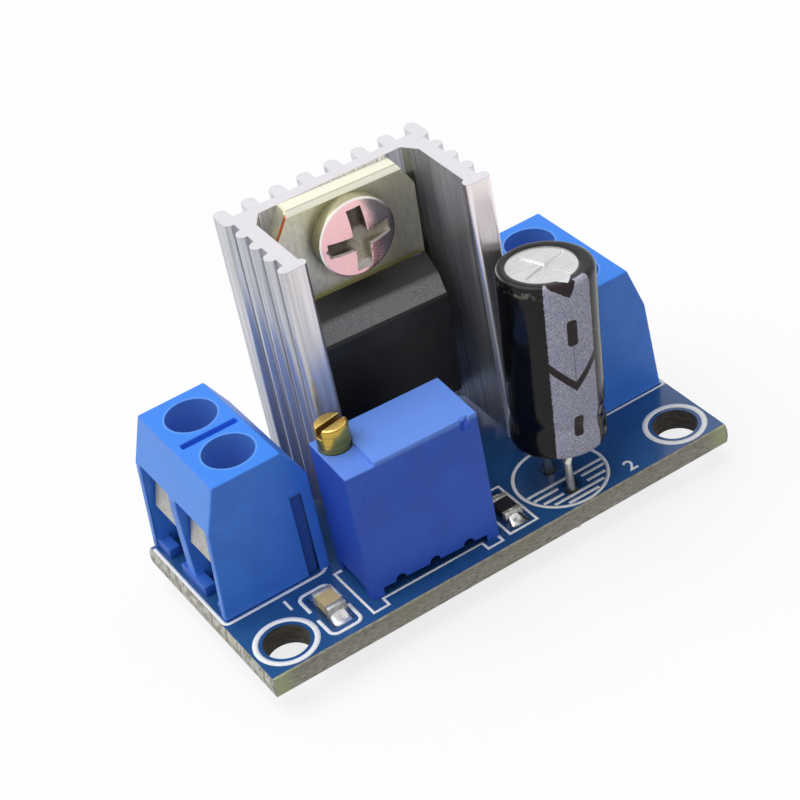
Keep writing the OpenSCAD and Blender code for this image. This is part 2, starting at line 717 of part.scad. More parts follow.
module regulator_body() {
    front = -tab_t - body_d;
    color("#17181a") at_regulator() intersection() {
        translate([-body_w, 0, 0]) along_x(2 * body_w) polygon([
            [-tab_t, body_bottom], [-tab_t, body_top],
            [-tab_t - body_slope_d, body_top - body_slope_drop],
            [front, body_top - body_slope_drop - body_bevel_drop], [front, body_bottom]
        ]);
        translate([0, 0, body_bottom]) linear_extrude(body_h) polygon([
            [-body_w / 2, -tab_t], [body_w / 2, -tab_t],
            [body_w / 2 - body_draft, front], [body_draft - body_w / 2, front]
        ]);
    }
}

module regulator_leads() {
    shoulder_z = body_bottom - lead_shoulder_l;
    color("#c7c7c4") {
        at_lead_pins() translate([-lead_w / 2, -lead_t / 2, -board_top])
            cube([lead_w, lead_t, board_top + lead_knee_z]);
        at_regulator() for (i = [-1:1]) translate([i * lead_pitch, -lead_offset, shoulder_z])
            translate([-lead_shoulder_w / 2, -lead_t / 2, 0])
                cube([lead_shoulder_w, lead_t, lead_shoulder_l]);
    }
}

module regulator_screw() {
    dome_h = fix_head_h - fix_head_rim;
    dome_r = (fix_head_d * fix_head_d / 4 + dome_h * dome_h) / (2 * dome_h);
    color("#d3d5d8") at_sink() translate([0, -tab_t, tab_hole_z]) rotate([90, 0, 0]) {
        difference() {
            intersection() {
                cylinder(h = fix_head_h, d = fix_head_d);
                translate([0, 0, fix_head_h - dome_r]) sphere(dome_r);
            }
            for (a = [0, 90]) rotate([0, 0, a])
                translate([-fix_cross_l / 2, -fix_cross_w / 2, fix_head_h - fix_cross_depth])
                    cube([fix_cross_l, fix_cross_w, fix_cross_depth + over]);
        }
        translate([0, 0, -fix_screw_l]) cylinder(h = fix_screw_l + bite, d = fix_screw_d);
    }
}

// Trimmer, drawn from its front corner on the board
module trimmer_shell() {
    difference() {
        union() {
            translate([0, 0, trim_body_z]) cube([trim_l, trim_w, trim_h - trim_body_z]);
            for (x = [0, trim_l - trim_foot_l], y = [0, trim_w - trim_foot_l])
                translate([x, y, 0]) cube([trim_foot_l, trim_foot_l, trim_body_z + bite]);
        }
        translate([trim_wall, trim_wall, -over])
            cube([trim_l - 2 * trim_wall, trim_w - 2 * trim_wall, trim_roof_z + over]);
        translate([-over, -over, trim_h - trim_strip_drop])
            cube([trim_strip_w + over, trim_w + 2 * over, trim_strip_drop + over]);
        translate([trim_l - 2 * trim_key_l, -over, trim_h - trim_key_drop])
            cube([trim_key_l, trim_key_notch + over, trim_key_drop + over]);
        for (x = trim_pin_xs) translate([x, -over, trim_body_z]) rotate([-90, 0, 0])
            cylinder(h = trim_wall + 2 * over, d = trim_notch_d);
    }
}

module trimmer_housing() {
    color("#2a4fb8") at_trimmer() difference() {
        union() {
            trimmer_shell();
            translate([trim_screw_x, trim_screw_y, trim_head_z]) intersection() {
                cylinder(h = trim_roof_z - trim_head_z + bite, d = trim_bore_d + 2 * trim_wall);
                translate([-trim_screw_x + bite, -trim_screw_y + bite, 0])
                    cube([trim_l - 2 * bite, trim_w - 2 * bite, trim_h]);
            }
            translate([rotor_x, pivot_y, rotor_z]) rotate([-90, 0, 0])
                cylinder(h = trim_w - trim_wall / 2 - pivot_y, d = rotor_pivot_d);
        }
        translate([trim_screw_x, trim_screw_y, trim_head_z - bite]) cylinder(h = trim_h, d = trim_bore_d);
        translate([trim_screw_x, trim_screw_y, resin_top])
            cylinder(h = trim_head_z - resin_top, d = trim_worm_d + 2 * trim_screw_clear);
    }
}

module trimmer_screw() {
    groove_r = trim_bore_d / 2 - trim_seal_d - trim_screw_clear;
    groove_h = trim_seal_d + 2 * trim_screw_clear;
    groove_z = trim_roof_z;
    top = trim_h + trim_screw_rise;
    edge = trim_screw_edge;
    r = trim_screw_d / 2;
    color("#c9a34a") at_trimmer() translate([trim_screw_x, trim_screw_y, 0]) difference() {
        rotate_extrude() polygon([
            [0, element_z], [trim_worm_d / 2, element_z], [trim_worm_d / 2, trim_head_z],
            [r, trim_head_z], [r, groove_z], [groove_r, groove_z], [groove_r, groove_z + groove_h],
            [r, groove_z + groove_h], [r, top - edge], [r - edge, top], [0, top]
        ]);
        rotate([0, 0, trim_slot_turn - trimmer_turn])
            translate([-trim_screw_d, -trim_slot_w / 2, top - trim_slot_depth])
                cube([2 * trim_screw_d, trim_slot_w, trim_slot_depth + over]);
    }
}

module trimmer_seal() {
    z = trim_roof_z + trim_seal_d / 2 + trim_screw_clear;
    color("#1c1c1c") at_trimmer() translate([trim_screw_x, trim_screw_y, z])
        rotate_extrude() translate([trim_bore_d / 2 - trim_seal_d / 2, 0]) circle(d = trim_seal_d);
}

module trimmer_rotor() {
    root_r = rotor_r - rotor_tooth;
    tooth_w = PI * root_r / rotor_teeth;
    color("#e6e2d6") at_trimmer() translate([rotor_x, rotor_back_y, rotor_z]) rotate([90, 0, 0])
        linear_extrude(rotor_t) difference() {
            union() {
                circle(root_r);
                for (i = [0:rotor_teeth - 1]) rotate(i * 360 / rotor_teeth) polygon([
                    [root_r - bite, -tooth_w / 2], [rotor_r, -tooth_w / 4],
                    [rotor_r, tooth_w / 4], [root_r - bite, tooth_w / 2]
                ]);
            }
            circle(d = rotor_pivot_d + 2 * rotor_clear);
        }
}

module trimmer_wiper() {
    reach = wiper_y - element_face_y - rotor_clear;
    color("#d8b75a") at_trimmer() translate([rotor_x, wiper_y + wiper_t, rotor_z]) rotate([90, 0, 0]) {
        cylinder(h = wiper_t, d = wiper_d);
        for (s = [-1, 1]) translate([0, s * wiper_point_r, 0])
            cylinder(h = wiper_t + reach, d = wiper_point_d);
    }
}

module trimmer_element() {
    inset = trim_wall + rotor_clear;
    color("#f0efe8") at_trimmer() translate([inset, element_y, element_z])
        cube([trim_l - 2 * inset, element_t, trim_head_z - element_z - rotor_clear]);
}

module trimmer_resin() {
    inset = trim_wall;
    color("#26272b") at_trimmer() difference() {
        translate([inset, inset, trim_body_z]) cube([trim_l - 2 * inset, trim_w - 2 * inset, resin_t]);
        for (x = trim_pin_xs) translate([x, trim_pin_y, 0])
            cylinder(h = trim_h, d = trim_pin_d + 2 * solder_clear);
    }
}

module trimmer_pins() {
    color("#c7c7c4") at_trimmer_pins() translate([0, 0, -board_top])
        cylinder(h = board_top + resin_top, d = trim_pin_d);
}

// Capacitor, drawn upright from its base
module capacitor_outline(r, bottom, top) {
    bead = cap_bead_depth;
    rotate_extrude() polygon([
        [0, bottom], [r, bottom], [r, cap_bead_z - 3 * bead], [r - bead, cap_bead_z - bead],
        [r - bead, cap_bead_z + bead], [r, cap_bead_z + 3 * bead],
        [r, top - 2 * bead], [r - bead / 2, top - bead / 2], [r - 2 * bead, top], [0, top]
    ]);
}

module capacitor_can() {
    r = cap_d / 2 - sleeve_t - solder_clear;
    top = cap_l - sleeve_t;
    color("#c9ccd0") at_capacitor() difference() {
        capacitor_outline(r, sleeve_t, top);
        cylinder(h = bung_h, d = sleeve_open_d);
        for (a = [0, 90]) rotate([0, 0, cap_score_turn + a])
            translate([-cap_score_l / 2, -cap_score_w / 2, top - cap_score_depth])
                cube([cap_score_l, cap_score_w, cap_score_depth + over]);
    }
}

module capacitor_sleeve() {
    color("#16171b") at_capacitor() difference() {
        capacitor_outline(cap_d / 2, 0, cap_l);
        capacitor_outline(cap_d / 2 - sleeve_t, sleeve_t, cap_l - sleeve_t);
        translate([0, 0, -over]) cylinder(h = cap_l + 2 * over, d = sleeve_open_d);
    }
}

module capacitor_bung() {
    color("#2a2a2c") at_capacitor() difference() {
        cylinder(h = bung_h, d = sleeve_open_d - 2 * solder_clear);
        for (s = [-1, 1]) translate([0, s * cap_lead_pitch / 2, -over])
            cylinder(h = bung_h + 2 * over, d = cap_lead_d + 2 * solder_clear);
    }
}

module capacitor_leads() {
    color("#c7c7c4") for (s = [-1, 1]) {
        inside = cap_point([0, s * cap_lead_pitch / 2, bung_h]);
        bend = cap_point([0, s * cap_lead_pitch / 2, -cap_lead_end]);
        knee = [cap_pad_x, cap_pad_y + s * cap_pad_pitch / 2, board_top + cap_lead_knee];
        tip = [knee.x, knee.y, 0];
        rod(inside, bend, cap_lead_d);
        rod(bend, knee, cap_lead_d);
        rod(knee, tip, cap_lead_d);
        for (p = [bend, knee]) translate(p) sphere(d = cap_lead_d * cap_lead_swell);
    }
}

// Chip parts, long axis across the board
module chip_body(h) {
    translate([-chip_w / 2, -chip_l / 2, chip_end_t]) cube([chip_w, chip_l, h]);
}

module chip_ends(h) {
    w = chip_w + 2 * chip_end_t;
    for (s = [0, 1]) mirror([0, s, 0]) difference() {
        translate([-w / 2, chip_l / 2 + chip_end_t - chip_end_l, 0])
            cube([w, chip_end_l, h + 2 * chip_end_t]);
        chip_body(h);
    }
}

module chip_fillets(h) {
    w = chip_w + 2 * chip_end_t;
    end_y = chip_l / 2 + chip_end_t;
    rise = h * chip_fillet_rise;
    for (s = [0, 1]) mirror([0, s, 0]) translate([-w / 2, end_y, 0]) along_x(w) difference() {
        square([chip_fillet_l, rise]);
        translate([chip_fillet_l, rise]) scale([chip_fillet_l / rise, 1]) circle(rise - chip_fillet_edge);
    }
}

module chip_capacitor_body() { color("#b58a5c") at_chip(chip_capacitor_x) chip_body(chip_capacitor_h); }
module chip_capacitor_ends() { color("#d0d0cc") at_chip(chip_capacitor_x) chip_ends(chip_capacitor_h); }
module chip_resistor_body() { color("#1b1c20") at_chip(chip_resistor_x) chip_body(chip_resistor_h); }
module chip_resistor_ends() { color("#d0d0cc") at_chip(chip_resistor_x) chip_ends(chip_resistor_h); }

module chip_solder() {
    color("#c9cbcd") {
        at_chip(chip_capacitor_x) chip_fillets(chip_capacitor_h);
        at_chip(chip_resistor_x) chip_fillets(chip_resistor_h);
    }
}

// Solder under the board, one joint round each pin
module solder_joint(pin_d) {
    translate([0, 0, -board_t - joint_h])
        cylinder(h = joint_h, d1 = pin_d + 2 * joint_tip, d2 = max(joint_d, pin_d + 2 * joint_ring));
}

module pin_solder() {
    color("#c9cbcd") {
        at_terminal_pins() difference() {
            solder_joint(norm([terminal_pin_l, terminal_pin_w]));
            translate([0, 0, -board_t]) cube([
                terminal_pin_l + 2 * solder_clear, terminal_pin_w + 2 * solder_clear, 3 * joint_h
            ], center = true);
        }
        at_lead_pins() difference() {
            solder_joint(norm([lead_w, lead_t]));
            translate([0, 0, -board_t])
                cube([lead_w + 2 * solder_clear, lead_t + 2 * solder_clear, 3 * joint_h], center = true);
        }
        at_trimmer_pins() difference() {
            solder_joint(trim_pin_d);
            translate([0, 0, -board_t])
                cylinder(h = 3 * joint_h, d = trim_pin_d + 2 * solder_clear, center = true);
        }
        at_capacitor_pins() difference() {
            solder_joint(cap_lead_d);
            translate([0, 0, -board_t])
                cylinder(h = 3 * joint_h, d = cap_lead_d + 2 * solder_clear, center = true);
        }
    }
}

circuit_board();
input_terminal_housing();
output_terminal_housing();
input_clamp_frame_1();
input_clamp_frame_2();
output_clamp_frame_1();
output_clamp_frame_2();
input_pressure_pad_1();
input_pressure_pad_2();
output_pressure_pad_1();
output_pressure_pad_2();
input_clamp_screw_1();
input_clamp_screw_2();
output_clamp_screw_1();
output_clamp_screw_2();
heatsink();
regulator_tab();
regulator_body();
regulator_leads();
regulator_screw();
trimmer_housing();
trimmer_screw();
trimmer_seal();
trimmer_rotor();
trimmer_wiper();
trimmer_element();
trimmer_resin();
trimmer_pins();
capacitor_can();
capacitor_sleeve();
capacitor_bung();
capacitor_leads();
chip_capacitor_body();
chip_capacitor_ends();
chip_resistor_body();
chip_resistor_ends();
chip_solder();
pin_solder();
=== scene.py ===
"""Looks of a linear regulator module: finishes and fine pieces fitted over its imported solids."""

import logging
import math
from dataclasses import dataclass
from enum import Enum
from typing import Sequence, Union

import bmesh
import bpy
from mathutils import Euler, Matrix, Vector


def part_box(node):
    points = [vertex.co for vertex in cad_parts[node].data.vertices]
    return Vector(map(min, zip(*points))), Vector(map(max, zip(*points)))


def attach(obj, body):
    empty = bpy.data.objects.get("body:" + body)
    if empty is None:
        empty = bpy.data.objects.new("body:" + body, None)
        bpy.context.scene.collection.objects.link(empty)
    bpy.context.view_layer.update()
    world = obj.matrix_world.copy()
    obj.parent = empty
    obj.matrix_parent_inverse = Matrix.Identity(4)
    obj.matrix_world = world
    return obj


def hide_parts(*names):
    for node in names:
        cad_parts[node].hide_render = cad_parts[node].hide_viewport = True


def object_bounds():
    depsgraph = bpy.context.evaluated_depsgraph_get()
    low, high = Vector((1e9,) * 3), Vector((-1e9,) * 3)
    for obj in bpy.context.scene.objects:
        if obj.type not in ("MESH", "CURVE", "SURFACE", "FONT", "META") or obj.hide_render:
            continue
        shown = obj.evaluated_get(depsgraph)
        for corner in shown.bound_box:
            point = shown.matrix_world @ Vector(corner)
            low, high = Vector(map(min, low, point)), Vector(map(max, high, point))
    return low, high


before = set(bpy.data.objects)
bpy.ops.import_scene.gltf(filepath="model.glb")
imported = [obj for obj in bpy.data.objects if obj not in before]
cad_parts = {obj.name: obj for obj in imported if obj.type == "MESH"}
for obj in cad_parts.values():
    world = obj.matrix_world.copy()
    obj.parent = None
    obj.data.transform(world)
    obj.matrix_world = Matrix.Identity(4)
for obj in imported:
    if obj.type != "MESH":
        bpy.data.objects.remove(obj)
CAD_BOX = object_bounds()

Color = tuple[float, float, float, float]
Point = tuple[float, float]
Triple = tuple[float, float, float]
Path = tuple[list[Point], bool]
Rows = list[list[bmesh.types.BMVert]]
Socket = bpy.types.NodeSocket

# Sizes are in millimetres unless a comment says otherwise; MM turns them into the scene's metres
MM = 0.001
LOG = logging.getLogger("regulator_module")
ROOT = "board_assembly"
BOARD_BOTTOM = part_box("circuit_board")[0][2] / MM
BOARD_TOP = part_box("circuit_board")[1][2] / MM
INK_HEIGHT = 0.02
INK_LEVEL = BOARD_TOP + 0.2 * INK_HEIGHT
WHITE: Color = (1.0, 1.0, 1.0, 1.0)
EVEN: Triple = (1.0, 1.0, 1.0)


def srgb(*channels: float) -> Color:
    """Turns a screen colour of 0 to 255 into the linear colour that shaders use."""
    shares = [value / 255 for value in channels]
    return (*(s / 12.92 if s <= 0.04045 else ((s + 0.055) / 1.055) ** 2.4 for s in shares), 1.0)


def pose(origin: Sequence[float], turn: Sequence[float]) -> Matrix:
    """The place at an origin, turned by degrees about X, Y and Z."""
    spin = Euler([math.radians(v) for v in turn]).to_matrix().to_4x4()
    return Matrix.Translation(Vector(origin) * MM) @ spin


class Expr:
    """A number in a shader tree. Arithmetic on it adds Math nodes."""

    SMOOTH = {"interpolation_type": "SMOOTHSTEP", "clamp": True}

    def __init__(self, graph: "Graph", socket: Socket) -> None:
        """Wraps one output socket of a graph."""
        self.graph = graph
        self.socket = socket

    def math(self, operation: str, *operands: "Number") -> "Expr":
        """The result of one Math node on values or links, in order."""
        node = self.graph.node("ShaderNodeMath", {"operation": operation}, dict(enumerate(operands)))
        return Expr(self.graph, node.outputs[0])

    def __add__(self, other: "Number") -> "Expr":
        """Sum."""
        return self.math("ADD", self, other)

    def __sub__(self, other: "Number") -> "Expr":
        """Difference."""
        return self.math("SUBTRACT", self, other)

    def __rsub__(self, other: "Number") -> "Expr":
        """Difference, reflected."""
        return self.math("SUBTRACT", other, self)

    def __mul__(self, other: "Number") -> "Expr":
        """Product."""
        return self.math("MULTIPLY", self, other)

    def __truediv__(self, other: "Number") -> "Expr":
        """Quotient."""
        return self.math("DIVIDE", self, other)

    def __rtruediv__(self, other: "Number") -> "Expr":
        """Quotient, reflected."""
        return self.math("DIVIDE", other, self)

    def __abs__(self) -> "Expr":
        """Absolute value."""
        return self.math("ABSOLUTE", self)

    def __gt__(self, other: "Number") -> "Expr":
        """One where this is greater."""
        return self.math("GREATER_THAN", self, other)

    def __lt__(self, other: "Number") -> "Expr":
        """One where this is less."""
        return self.math("LESS_THAN", self, other)

    def __or__(self, other: "Number") -> "Expr":
        """The larger of two."""
        return self.math("MAXIMUM", self, other)

    def __and__(self, other: "Number") -> "Expr":
        """The smaller of two."""
        return self.math("MINIMUM", self, other)

    __radd__, __rmul__, __ror__, __rand__ = __add__, __mul__, __or__, __and__

    def hypot(self, other: "Expr") -> "Expr":
        """Length of the vector that two parts make."""
        return self.math("SQRT", self * self + other * other)

    def step(self, low: float, high: float) -> "Expr":
        """Smooth share from 0 at the low value to 1 at the high one."""
        node = self.graph.node("ShaderNodeMapRange", self.SMOOTH, {0: self, 1: low, 2: high, 3: 0.0, 4: 1.0})
        return Expr(self.graph, node.outputs[0])


Number = Union[Expr, float]
Value = Union[Expr, Socket, float, Sequence[float]]
Axes = tuple[Expr, Expr, Expr]


class Tree:
    """A node tree that takes nodes with their settings, values and links."""

    tree: bpy.types.NodeTree

    def node(self, kind: str, settings: dict | None = None, sockets: dict | None = None) -> bpy.types.Node:
        """Adds one node.

        Args:
            kind: The node's type.
            settings: Properties, set first.
            sockets: Values or links by input name or index.

        Returns:
            The new node.
        """
        made = self.tree.nodes.new(kind)
        for key, value in (settings or {}).items():
            setattr(made, key, value)
        for key, value in (sockets or {}).items():
            value = value.socket if isinstance(value, Expr) else value
            if isinstance(value, bpy.types.NodeSocket):
                self.tree.links.new(value, made.inputs[key])
            else:
                made.inputs[key].default_value = value
        return made


class Graph(Tree):
    """A shader tree that is written as expressions."""

    def __init__(self, tree: bpy.types.NodeTree) -> None:
        """Takes a tree and empties it."""
        self.tree = tree
        tree.nodes.clear()

    def place(self, origin: Sequence[float] = (0, 0, 0), turn: Sequence[float] = (0, 0, 0),
              scale: Sequence[float] = EVEN) -> Socket:
        """Object coordinates in metres, seen from a place of their own.

        Args:
            origin: Where the place is.
            turn: How it is turned, in degrees.
            scale: How far the pattern is stretched along each axis.

        Returns:
            The coordinates in that place.
        """
        sockets = {"Vector": self.node("ShaderNodeTexCoord").outputs["Object"], "Scale": tuple(scale),
                   "Location": [v * MM for v in origin], "Rotation": [math.radians(v) for v in turn]}
        return self.node("ShaderNodeMapping", {"vector_type": "TEXTURE"}, sockets).outputs[0]

    def axes(self, origin: Sequence[float] = (0, 0, 0), turn: Sequence[float] = (0, 0, 0)) -> Axes:
        """Object coordinates in millimetres, seen from an origin and turned by degrees."""
        parts = self.node("ShaderNodeSeparateXYZ", None, {0: self.place(origin, turn, (MM, MM, MM))}).outputs
        return Expr(self, parts[0]), Expr(self, parts[1]), Expr(self, parts[2])

    def noise(self, scale: float, detail: float = 3.0, stretch: Sequence[float] = EVEN) -> Expr:
        """Cloudy noise from 0 to 1, by features a metre, octaves and how far each axis is stretched."""
        sockets = {"Vector": self.place(scale=stretch), "Scale": scale, "Detail": detail}
        return Expr(self, self.node("ShaderNodeTexNoise", None, sockets).outputs["Fac"])

    def tint(self, share: Number, first: Value, second: Value) -> Socket:
        """The first colour with a share of the second mixed in; plain colours are screen colours."""
        ends = [srgb(*color) if isinstance(color, tuple) else color for color in (first, second)]
        return self.node("ShaderNodeMix", {"data_type": "RGBA"}, {0: share, 6: ends[0], 7: ends[1]}).outputs[2]

    def layers(self, color: Value, *coats: tuple[Number, Value]) -> Value:
        """Lays colours over a first one.

        Args:
            color: The colour underneath.
            coats: Share and colour of each coat, in order.

        Returns:
            The colour on top.
        """
        for share, coat in coats:
            color = self.tint(share, color, coat)
        return color

    def bump(self, height: Expr, distance: float) -> Socket:
        """A normal bent by a height, with the distance in metres that a height of 1 stands for."""
        sockets = {"Height": height, "Distance": distance, "Strength": 1.0}
        return self.node("ShaderNodeBump", None, sockets).outputs[0]

    def surface(self, **sockets: Value) -> None:
        """Ends the tree in one surface.

        Args:
            sockets: Inputs of the surface, with underscores for spaces.
        """
        named = {key.replace("_", " "): value for key, value in sockets.items()}
        shader = self.node("ShaderNodeBsdfPrincipled", None, named)
        self.node("ShaderNodeOutputMaterial", None, {"Surface": shader.outputs[0]})


@dataclass(frozen=True)
class Finish:
    """A finish that makes its own material."""

    name: str

    def material(self) -> bpy.types.Material:
        """Finds the finish's material, or makes it on its first use.

        Returns:
            The material.
        """
        title = f"{self.name}_look"
        made = bpy.data.materials.get(title)
        if made is None:
            made = bpy.data.materials.new(title)
            made.use_nodes = True
            self.draw(Graph(made.node_tree))
        return made

    def draw(self, g: Graph) -> None:
        """Writes the finish into a shader tree."""
        raise NotImplementedError


@dataclass(frozen=True)
class Moulded(Finish):
    """Moulded plastic, rubber or ceramic with a fine skin and faint clouds of colour; grain in metres."""

    color: Triple
    shade: Triple
    roughness: float = 0.4
    grain: float = 1.5e-6
    grain_scale: float = 14000.0

    def draw(self, g: Graph) -> None:
        """Writes the finish into a shader tree.

        Args:
            g: The tree.
        """
        cloud = g.noise(420.0)
        skin = g.noise(self.grain_scale, 2.0)
        g.surface(
            Base_Color=g.tint(cloud.step(0.35, 0.7) * 0.7 + skin * 0.3, self.color, self.shade),
            Roughness=self.roughness + (skin - 0.5) * 0.15, Normal=g.bump(skin, self.grain))


@dataclass(frozen=True)
class DrawnMetal(Finish):
    """Drawn, turned or plated metal with fine lines along one way and dull spots; relief in metres."""

    color: Triple
    shade: Triple
    roughness: float = 0.28
    stretch: Triple = (1.0, 1.0, 30.0)
    line_scale: float = 9000.0
    relief: float = 1.2e-6
    blotch: float = 0.4

    def draw(self, g: Graph) -> None:
        """Writes the finish into a shader tree.

        Args:
            g: The tree.
        """
        lines = g.noise(self.line_scale, 2.0, self.stretch)
        dull = g.noise(1500.0).step(0.5, 0.75) * self.blotch
        g.surface(
            Base_Color=g.tint(lines.step(0.3, 0.75) * 0.6 + dull, self.color, self.shade), Metallic=1.0,
            Roughness=self.roughness + (lines - 0.5) * 0.12 + dull * 0.2, Normal=g.bump(lines, self.relief))


@dataclass(frozen=True)
class TerminalPlastic(Finish):
    """Blue terminal plastic: satin skin, a few pale specks, painted highlights round the screw wells and on the
    upper slope at the wire entry, painted shade in the side groove and on the rails, and the well insides and top
    tinted as painted light.
    """

    well: Triple = (13.346, 0.8, 5.8)
    well_radius: float = 1.8
    top: float = 13.35
    crown: float = 0.12
    slope: Point = (15.966, 4.9)
    groove: Triple = (10.746, 0.42, 9.75)
    groove_side: Point = (-1.77, -1.0)
    seam: Point = (9.86, -1.7)
    shaded_rails: Triple = (3.88, 16.3, -1.1)

    def draw(self, g: Graph) -> None:
        """Writes the finish into a shader tree.

        Args:
            g: The tree.
        """
        x, y, z = g.axes()
        cloud = g.noise(420.0)
        skin = g.noise(9000.0, 2.0)
        dust = g.noise(2900.0, 2.0).step(0.74, 0.78)
        end, first, second = self.well
        middle = abs(y - (first + second) / 2)
        away = (abs(x) - end).hypot(middle - (second - first) / 2)
        crown = self.top - self.crown
        well = (away < self.well_radius + 0.02) * (z < crown) * (z > self.groove[2])
        rim = (1.0 - abs(away - self.well_radius).step(0.03, 0.09)) * (z > crown)
        slope = (abs(x) > self.slope[0]) * (z > self.seam[0]) * (middle < self.slope[1])
        seam = (abs(z - self.seam[0]) < 0.035) * (y < self.seam[1])
        groove = (abs(abs(x) - self.groove[0]) < self.groove[1]) * (z < self.groove[2])
        groove = groove * (y > self.groove_side[0]) * (y < self.groove_side[1])
        shaded_rails = (z < self.shaded_rails[0]) * (abs(x) > self.shaded_rails[1]) * (y > self.shaded_rails[2])
        color = g.layers(
            g.tint(cloud.step(0.35, 0.7) * 0.7 + skin * 0.3, (70, 144, 250), (62, 132, 238)),
            # Painted light: the well insides paler and greyer, the top a deeper blue to offset its sheen.
            (well * 0.65, (104, 150, 222)), (z > self.top - 0.03, (46, 137, 249)),
            # Painted highlight on the upper slope at the wire entry.
            (slope * 0.4, (112, 172, 255)), (seam * cloud.step(0.35, 0.55) * 0.3, (40, 84, 176)),
            # Painted shade in the side groove and on the rails.
            (groove * 0.7, (34, 62, 140)), (shaded_rails * 0.6, (34, 70, 168)),
            # Painted highlight round the well edges, in the same pale blue as the real dust specks.
            (rim * 0.42 | dust * 0.45, (140, 192, 255)))
        g.surface(Base_Color=color, Roughness=0.42 + (skin - 0.5) * 0.16, Normal=g.bump(skin + cloud, 2.5e-6))


@dataclass(frozen=True)
class Laminate(Finish):
    """Glass-fibre board: glossy blue mask on both faces with painted shade over the pads under the chip parts and
    round the capacitor's leads, bare fibre on the edges and in the holes.
    """

    hole: Point = (15.396, -6.0)
    hole_radius: float = 1.75
    half_length: float = 17.916
    skin: float = 0.003
    pads: tuple[tuple[float, float, float, float], ...] = ((-11.76, -5.3, 0.95, 1.9), (1.88, -5.2, 0.95, 2.1))
    lead_pads: tuple[Point, ...] = ((6.6, -6.22), (6.6, -3.72))
    lead_pad: float = 0.85

    def copper(self, x: Expr, y: Expr) -> Number:
        """Where painted shade lies: dark patches over the pads under the chip parts and round the capacitor's
        leads.

        Args:
            x: Place along the board.
            y: Place across the board.

        Returns:
            One in a patch of painted shade, with a soft edge.
        """
        found: Number = 0.0
        for px, py, half_x, half_y in self.pads:
            inside = 1.0 - abs(x - px).step(half_x - 0.2, half_x)
            found = inside * (1.0 - abs(y - py).step(half_y - 0.2, half_y)) | found
        for px, py in self.lead_pads:
            found = 1.0 - (x - px).hypot(y - py).step(self.lead_pad - 0.3, self.lead_pad) | found
        return found

    def draw(self, g: Graph) -> None:
        """Writes the finish into a shader tree.

        Args:
            g: The tree.
        """
        x, y, z = g.axes()
        mask = (z > BOARD_TOP - self.skin) | (z < BOARD_BOTTOM + self.skin)
        cloud = g.noise(300.0)
        weave = g.noise(17000.0, 2.0, (9.0, 9.0, 1.0))
        speck = g.noise(8500.0, 4.0, (4.0, 4.0, 1.0))
        bundle = g.noise(3200.0, 5.0, (1.0, 1.0, 1.7))
        ring = g.noise(7000.0, 2.0, (6.0, 6.0, 1.0))
        patch = g.noise(420.0)
        drilled = (abs(x) - self.hole[0]).hypot(y - self.hole[1]) < self.hole_radius
        torn = abs(x) > self.half_length - 0.2
        blue = g.layers(
            # Painted shade: dark patches over the pads under the chip parts and round the capacitor's leads.
            g.tint(cloud.step(0.3, 0.7), (41, 91, 149), (33, 80, 135)), (self.copper(x, y) * 0.6, (17, 27, 48)))
        broken = g.layers(
            g.tint(bundle.step(0.4, 0.66), (216, 214, 208), (150, 144, 135)),
            (speck.step(0.5, 0.75) * 0.4, (140, 134, 122)))
        wall = g.layers(
            g.tint(ring.step(0.35, 0.7), (58, 54, 50), (98, 92, 82)),
            (z.step(BOARD_TOP - 0.25, BOARD_TOP) * 0.6, (52, 72, 104)))
        core = g.layers(
            g.tint(weave.step(0.3, 0.7), (160, 156, 144), (202, 198, 186)),
            (speck.step(0.46, 0.7) * 0.55, (96, 91, 82)),
            (z.step(BOARD_TOP - 0.9, BOARD_TOP) * 0.35, (132, 128, 98)),
            (patch.step(0.5, 0.72) * 0.3, (158, 164, 124)),
            (abs(x).step(15.6, self.half_length) * 0.65, (206, 220, 160)), (torn * 0.9, broken),
            (drilled, wall))
        g.surface(
            Base_Color=g.tint(mask, core, blue), Roughness=0.8 - mask * 0.54,
            Normal=g.bump(cloud * mask * 0.4 + (weave + speck) * (1.0 - mask) * 3.0, 6e-6),
            Coat_Weight=mask * 0.3, Coat_Roughness=0.1)


@dataclass(frozen=True)
class Ink(Finish):
    """White printed legend, a little thin in places."""

    def draw(self, g: Graph) -> None:
        """Writes the finish into a shader tree.

        Args:
            g: The tree.
        """
        thin = g.noise(6500.0)
        g.surface(
            Base_Color=g.tint(thin.step(0.45, 0.8), (255, 255, 255), (232, 236, 242)),
            Roughness=0.55 + thin * 0.15, Normal=g.bump(thin, 3e-6))


